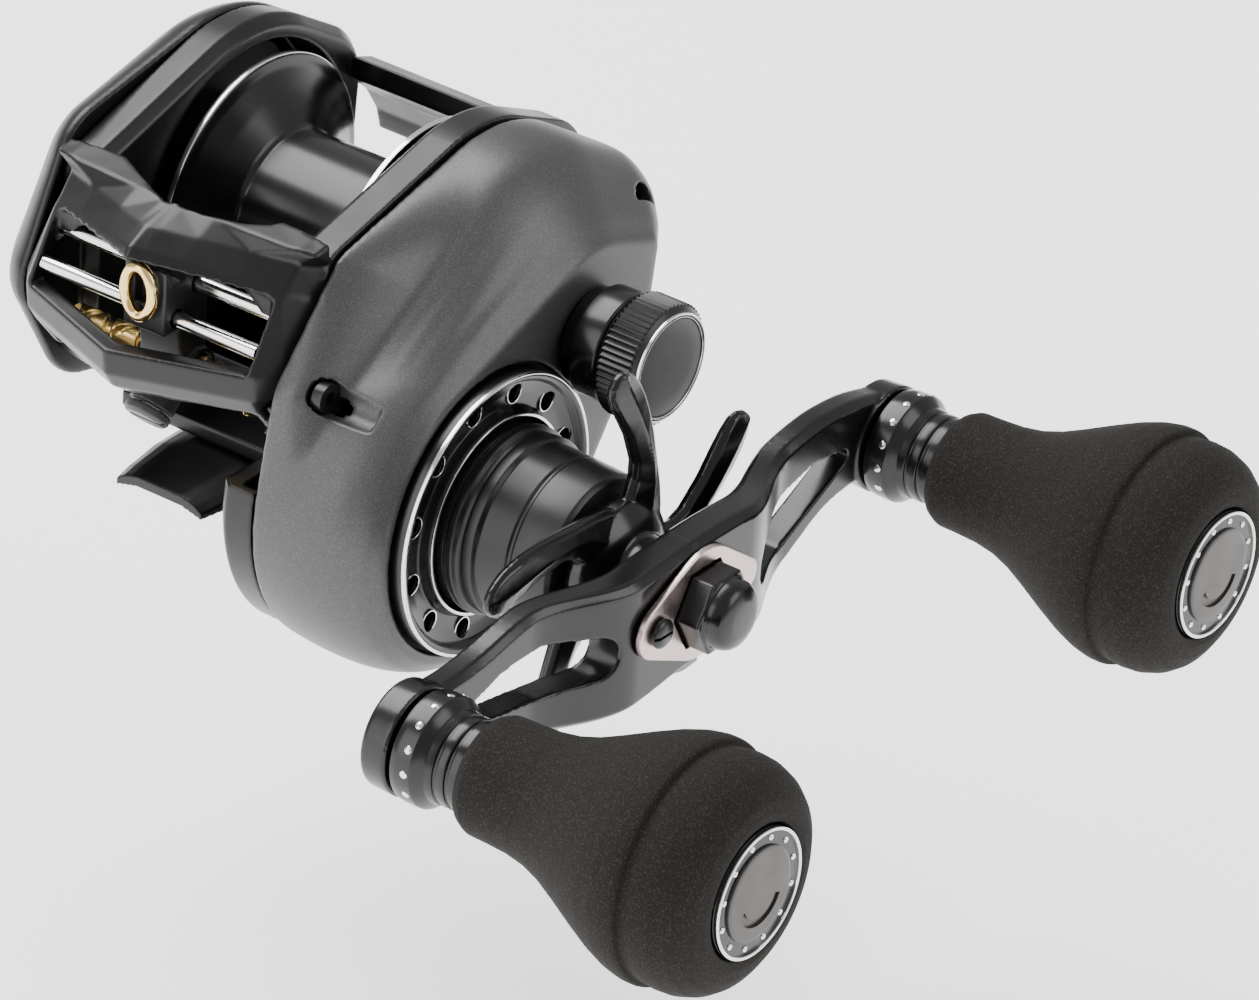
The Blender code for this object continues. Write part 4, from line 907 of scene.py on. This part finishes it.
# ---------------------------------------------------------------- knobs

def dot(centre_x, axis, reach, turn, size, proud):
    """A small domed stud that stands on a face across X."""
    centre = (axis[0] + reach * math.cos(turn), axis[1] + reach * math.sin(turn))
    return lathe("dot", centre, [
        (centre_x - 0.3, size), (centre_x + proud * 0.5, size), (centre_x + proud, size * 0.6),
    ], radius=0.1, count=20)


def knob_looks(end, axis):
    """One knob: dotted bush and neck, foam grip and end cap."""
    body = f"knob_{end}_group"
    flange = lathe(f"knob_{end}_flange_look", axis, [
        (65.8, 6.4), (66.1, 6.9), (66.9, 7.0), (69.0, 7.0), (69.5, 6.6), (70.2, 5.9), (71.2, 5.75),
        (71.3, 5.45), (71.7, 5.45), (71.8, 5.75), (72.9, 5.7), (73.0, 5.4), (73.4, 5.4), (73.5, 5.7),
        (74.6, 5.6), (96.0, 5.6),
    ], [(65.8, 3.9), (68.6, 3.9), (68.6, 2.5), (96.0, 2.5)], 0.12)
    add(f"knob_{end}_flange_look", flange, GLOSS_BLACK, body, (f"knob_{end}_flange",), 30)
    studs = []
    for i in range(14):
        turn = 2 * math.pi * i / 14
        centre = Vector((68.2, axis[0] + 7.0 * math.cos(turn), axis[1] + 7.0 * math.sin(turn)))
        shell = bmesh.new()
        bmesh.ops.create_uvsphere(shell, u_segments=16, v_segments=10, radius=0.5 * MM)
        for vert in shell.verts:
            out = Vector((0, math.cos(turn), math.sin(turn)))
            vert.co -= out * vert.co.dot(out) * 0.7
        bmesh.ops.translate(shell, verts=shell.verts, vec=centre * MM)
        studs.append(to_mesh(shell, "stud"))
    add(f"knob_{end}_studs", merged(f"knob_{end}_studs", studs), SILVER, body, ())
    grip = lathe(f"knob_{end}_grip_look", axis, [
        (74.9, 6.2), (75.2, 6.9), (76.4, 7.5), (79.0, 7.55), (82.0, 7.7), (85.0, 8.2), (88.0, 9.2),
        (91.0, 10.6), (95.0, 12.6), (98.0, 14.0), (100.5, 14.9), (102.5, 15.3), (103.8, 15.3),
        (104.3, 15.1), (104.5, 14.5), (105.0, 14.5), (106.5, 14.75), (108.5, 14.6), (110.5, 13.9),
        (112.0, 12.8), (113.0, 11.2), (113.4, 9.6), (113.3, 8.9),
    ], [(74.9, 5.9), (96.3, 5.9), (96.4, 2.5), (109.6, 2.5), (109.7, 8.5), (113.2, 8.5)], 0.25, 160)
    foam = add(f"knob_{end}_grip_look", grip, EVA, body, (f"knob_{end}_grip",), 30)
    cap_edge = [(110.0, 8.2), (113.2, 8.2), (113.5, 7.9), (113.5, 0.6)]
    cap = lathe(f"knob_{end}_cap_look", axis, cap_edge, radius=0.12)
    add(f"knob_{end}_cap_look", cap, GLOSS_BLACK, body, (f"knob_{end}_end_cap",), 30)
    outer, inner = ring_profile(113.55, 7.95, 0.3, 0.22)
    add(f"knob_{end}_cap_ring", lathe("ring", axis, outer, inner, 0.14), SILVER, body, ())
    dots = [dot(113.5, axis, 6.9, 2 * math.pi * (i + 0.5) / 12, 0.42, 0.22) for i in range(12)]
    add(f"knob_{end}_cap_dots", merged("dots", dots), SILVER, body, ())
    disc = lathe("disc", axis, [(113.3, 6.0), (113.85, 6.0), (113.95, 5.6), (114.0, 0.6)], radius=0.12)
    arc = []
    for k in range(25):
        a = math.radians(200 + 140 * k / 24)
        arc.append((axis[0] + 3.1 * math.cos(a), axis[1] + 3.1 * math.sin(a)))
    for k in range(25):
        a = math.radians(340 - 140 * k / 24)
        arc.append((axis[0] + 4.1 * math.cos(a), axis[1] + 4.1 * math.sin(a)))
    slotted = carve("disc", disc, prism("slot", arc, 113.6, 115.0))
    add(f"knob_{end}_cap_disc", slotted, DISC, body, (), 30)


for knob_end, knob_axis in KNOB_AXES.items():
    knob_looks(knob_end, knob_axis)


# ---------------------------------------------------------------- level wind

for bar, bar_axis in (("guide_bar_upper", GUIDE_BAR_UPPER), ("guide_bar_lower", GUIDE_BAR_LOWER)):
    rail = rod(bar + "_look", bar_axis, -16.6, 16.6, 1.0, 48)
    add(bar + "_look", rail, SILVER, "reel_body", (bar,))


def worm_look():
    """The worm's crossed grooves, cut as a pair of opposed helices."""
    pitch, depth, half, around, along = 5.2, 0.55, 0.55, 96, 300
    x_low, x_high, core = -14.5, 14.0, 2.4
    shell = bmesh.new()
    rows = []
    for k in range(along + 1):
        x = x_low + (x_high - x_low) * k / along
        fade = min(1.0, (x - x_low) / 0.8, (x_high - x) / 0.8)
        row = []
        for i in range(around):
            turn = 2 * math.pi * i / around
            dip = 0.0
            for way in (1, -1):
                off = (x - way * pitch * turn / (2 * math.pi)) % pitch
                off = min(off, pitch - off)
                dip = max(dip, min(1.0, max(0.0, (half + 0.15 - off) / 0.3)))
            r = core - depth * dip * max(0.0, fade)
            row.append(shell.verts.new((
                x * MM,
                (WORM_AXIS[0] + r * math.cos(turn)) * MM,
                (WORM_AXIS[1] + r * math.sin(turn)) * MM,
            )))
        rows.append(row)
    for low, high in zip(rows, rows[1:]):
        for i in range(around):
            j = (i + 1) % around
            shell.faces.new((low[i], low[j], high[j], high[i]))
    shell.faces.new(list(reversed(rows[0])))
    shell.faces.new(rows[-1])
    worm = to_mesh(shell, "worm")
    ends = [rod("end", WORM_AXIS, -17.2, -14.4, 1.2, 40), rod("end", WORM_AXIS, 13.9, 19.9, 1.2, 40)]
    return merged("worm_look", [worm, *ends])


add("worm_look", worm_look(), BRASS, "worm_group", ("worm_shaft",), 40)

carriage = cast("carriage_look", [cad_copy("line_guide_carriage")], voxel=0.18, rounds=3)
add("carriage_look", carriage, PLASTIC, "line_guide_group", ("line_guide_carriage",), 60)

ring_points = []
for step in range(64):
    around_ring = 2 * math.pi * step / 64
    ring_points.append((GUIDE_X + 2.1 * math.cos(around_ring), -40.5, 31.6 + 3.3 * math.sin(around_ring)))
line_ring = wire_ring("line_ring_look", ring_points, 0.75)
add("line_ring_look", line_ring, GOLD, "line_guide_group", ("line_guide_insert",), 60)


def pawl_cap_look():
    """The slotted cap that closes the pawl's tube, 45 degrees forward and down of the worm."""
    down = Vector((0.0, -math.sqrt(0.5), -math.sqrt(0.5)))
    start = Vector((GUIDE_X, WORM_AXIS[0], WORM_AXIS[1]))
    edge = [(6.3, 2.7), (6.5, 3.0), (7.3, 3.0), (7.7, 2.6)]
    cap = lathe("pawl_cap_look", (0.0, 0.0), edge, radius=0.15, count=64)
    slot = block("slot", (7.3, -4.0, -0.4), (9.0, 4.0, 0.4))
    mesh = carve("pawl_cap_look", cap, slot)
    side = Vector((1.0, 0.0, 0.0))
    turn = Matrix((down, side, down.cross(side))).transposed().to_4x4()
    mesh.transform(Matrix.Translation(start * MM) @ turn)
    return mesh


add("pawl_cap_look", pawl_cap_look(), GREY_PLASTIC, "line_guide_group", ("pawl_cap",), 40)


# ---------------------------------------------------------------- thumb bar

def thumb_look():
    """The thumb bar, rounded, with the CAD bar's end lugs and pins."""
    side = [
        (20.0, 35.2), (23.8, 33.8), (27.2, 30.6), (28.6, 26.6), (28.2, 22.8), (26.4, 22.4),
        (25.4, 25.8), (23.0, 29.4), (19.6, 32.4),
    ]
    bar = prism("bar", side, -14.2, 14.4)
    solid = cast("thumb_look", [bar, cad_copy("thumb_bar")], voxel=0.26, rounds=6)
    # Room for the spool at rest and with the bar pressed down by its whole travel
    room = [rod("room", (SPOOL_AXIS[0], SPOOL_AXIS[1] + drop), -14.4, 13.9, 19.5) for drop in (0.0, 3.0)]
    return carve("thumb_look", solid, *room)


add("thumb_look", thumb_look(), SATIN_BLACK, "thumb_bar_group", ("thumb_bar",), 60)


# ---------------------------------------------------------------- what the CAD already shows well

for node_name, node in frame["nodes"].items():
    for subpart in frame["record"]["subparts"]:
        if subpart["node"] == node_name and subpart["material_slot"] in SLOT_LOOKS:
            node.data.materials.clear()
            node.data.materials.append(SLOT_LOOKS[subpart["material_slot"]])


# ---------------------------------------------------------------- studio

AZIMUTH, ELEVATION, ROLL = math.radians(34.49), math.radians(30.14), math.radians(4.0)
CAMERA_DISTANCE, CAMERA_SHIFT_X, CAMERA_SHIFT_Y = 1061.0, 3.569, -19.651
CAMERA_TARGET = Vector((40.5, 0.0, 23.5))
LENS_MM, SENSOR_MM = 249.5, 36.0


def photo_camera():
    """The camera at the picture's angle. It gives its own right, up and back directions."""
    back = Vector((
        math.sin(AZIMUTH) * math.cos(ELEVATION),
        -math.cos(AZIMUTH) * math.cos(ELEVATION),
        math.sin(ELEVATION),
    ))
    level_right = Vector((math.cos(AZIMUTH), math.sin(AZIMUTH), 0.0))
    level_up = back.cross(level_right)
    right = level_right * math.cos(ROLL) + level_up * math.sin(ROLL)
    up = level_up * math.cos(ROLL) - level_right * math.sin(ROLL)
    data = bpy.data.cameras.new("photo_camera")
    data.lens = LENS_MM
    data.sensor_width = SENSOR_MM
    data.clip_start = 0.05
    data.clip_end = 20.0
    camera = bpy.data.objects.new("photo_camera", data)
    bpy.context.scene.collection.objects.link(camera)
    place = CAMERA_TARGET + back * CAMERA_DISTANCE + right * CAMERA_SHIFT_X + up * CAMERA_SHIFT_Y
    turn = Matrix((right, up, back)).transposed().to_4x4()
    camera.matrix_world = Matrix.Translation(place * MM) @ turn
    bpy.context.scene.camera = camera
    return right, up, back


def area_light(name, offset, size, watts):
    """A soft light that looks at the reel from an offset in metres."""
    data = bpy.data.lights.new(name, "AREA")
    data.shape = "RECTANGLE"
    data.size, data.size_y = size
    data.energy = watts
    lamp = bpy.data.objects.new(name, data)
    bpy.context.scene.collection.objects.link(lamp)
    lamp.location = CAMERA_TARGET * MM + offset
    lamp.rotation_euler = (-offset).to_track_quat("-Z", "Y").to_euler()


FLOOR_Z = -0.062
WORLD_STRENGTH = 0.6


def studio():
    """A pale floor, three soft lights and a white world."""
    right, up, back = photo_camera()
    shell = bmesh.new()
    bmesh.ops.create_grid(shell, x_segments=1, y_segments=1, size=4.0)
    floor = bpy.data.objects.new("floor", to_mesh(shell, "floor"))
    floor.data.materials.append(FLOOR)
    floor.location.z = FLOOR_Z
    bpy.context.scene.collection.objects.link(floor)
    area_light("key", right * -0.35 + up * 0.9 + back * 0.1, (0.8, 0.6), 14.0)
    area_light("fill", right * 0.9 + up * 0.3 + back * 0.5, (0.6, 0.8), 5.0)
    area_light("front", right * -0.8 + up * 0.1 + back * 0.6, (0.5, 0.8), 4.0)
    world = bpy.data.worlds.new("studio")
    world.use_nodes = True
    world.node_tree.nodes["Background"].inputs["Color"].default_value = (1.0, 1.0, 1.0, 1.0)
    world.node_tree.nodes["Background"].inputs["Strength"].default_value = WORLD_STRENGTH
    bpy.context.scene.world = world


studio()
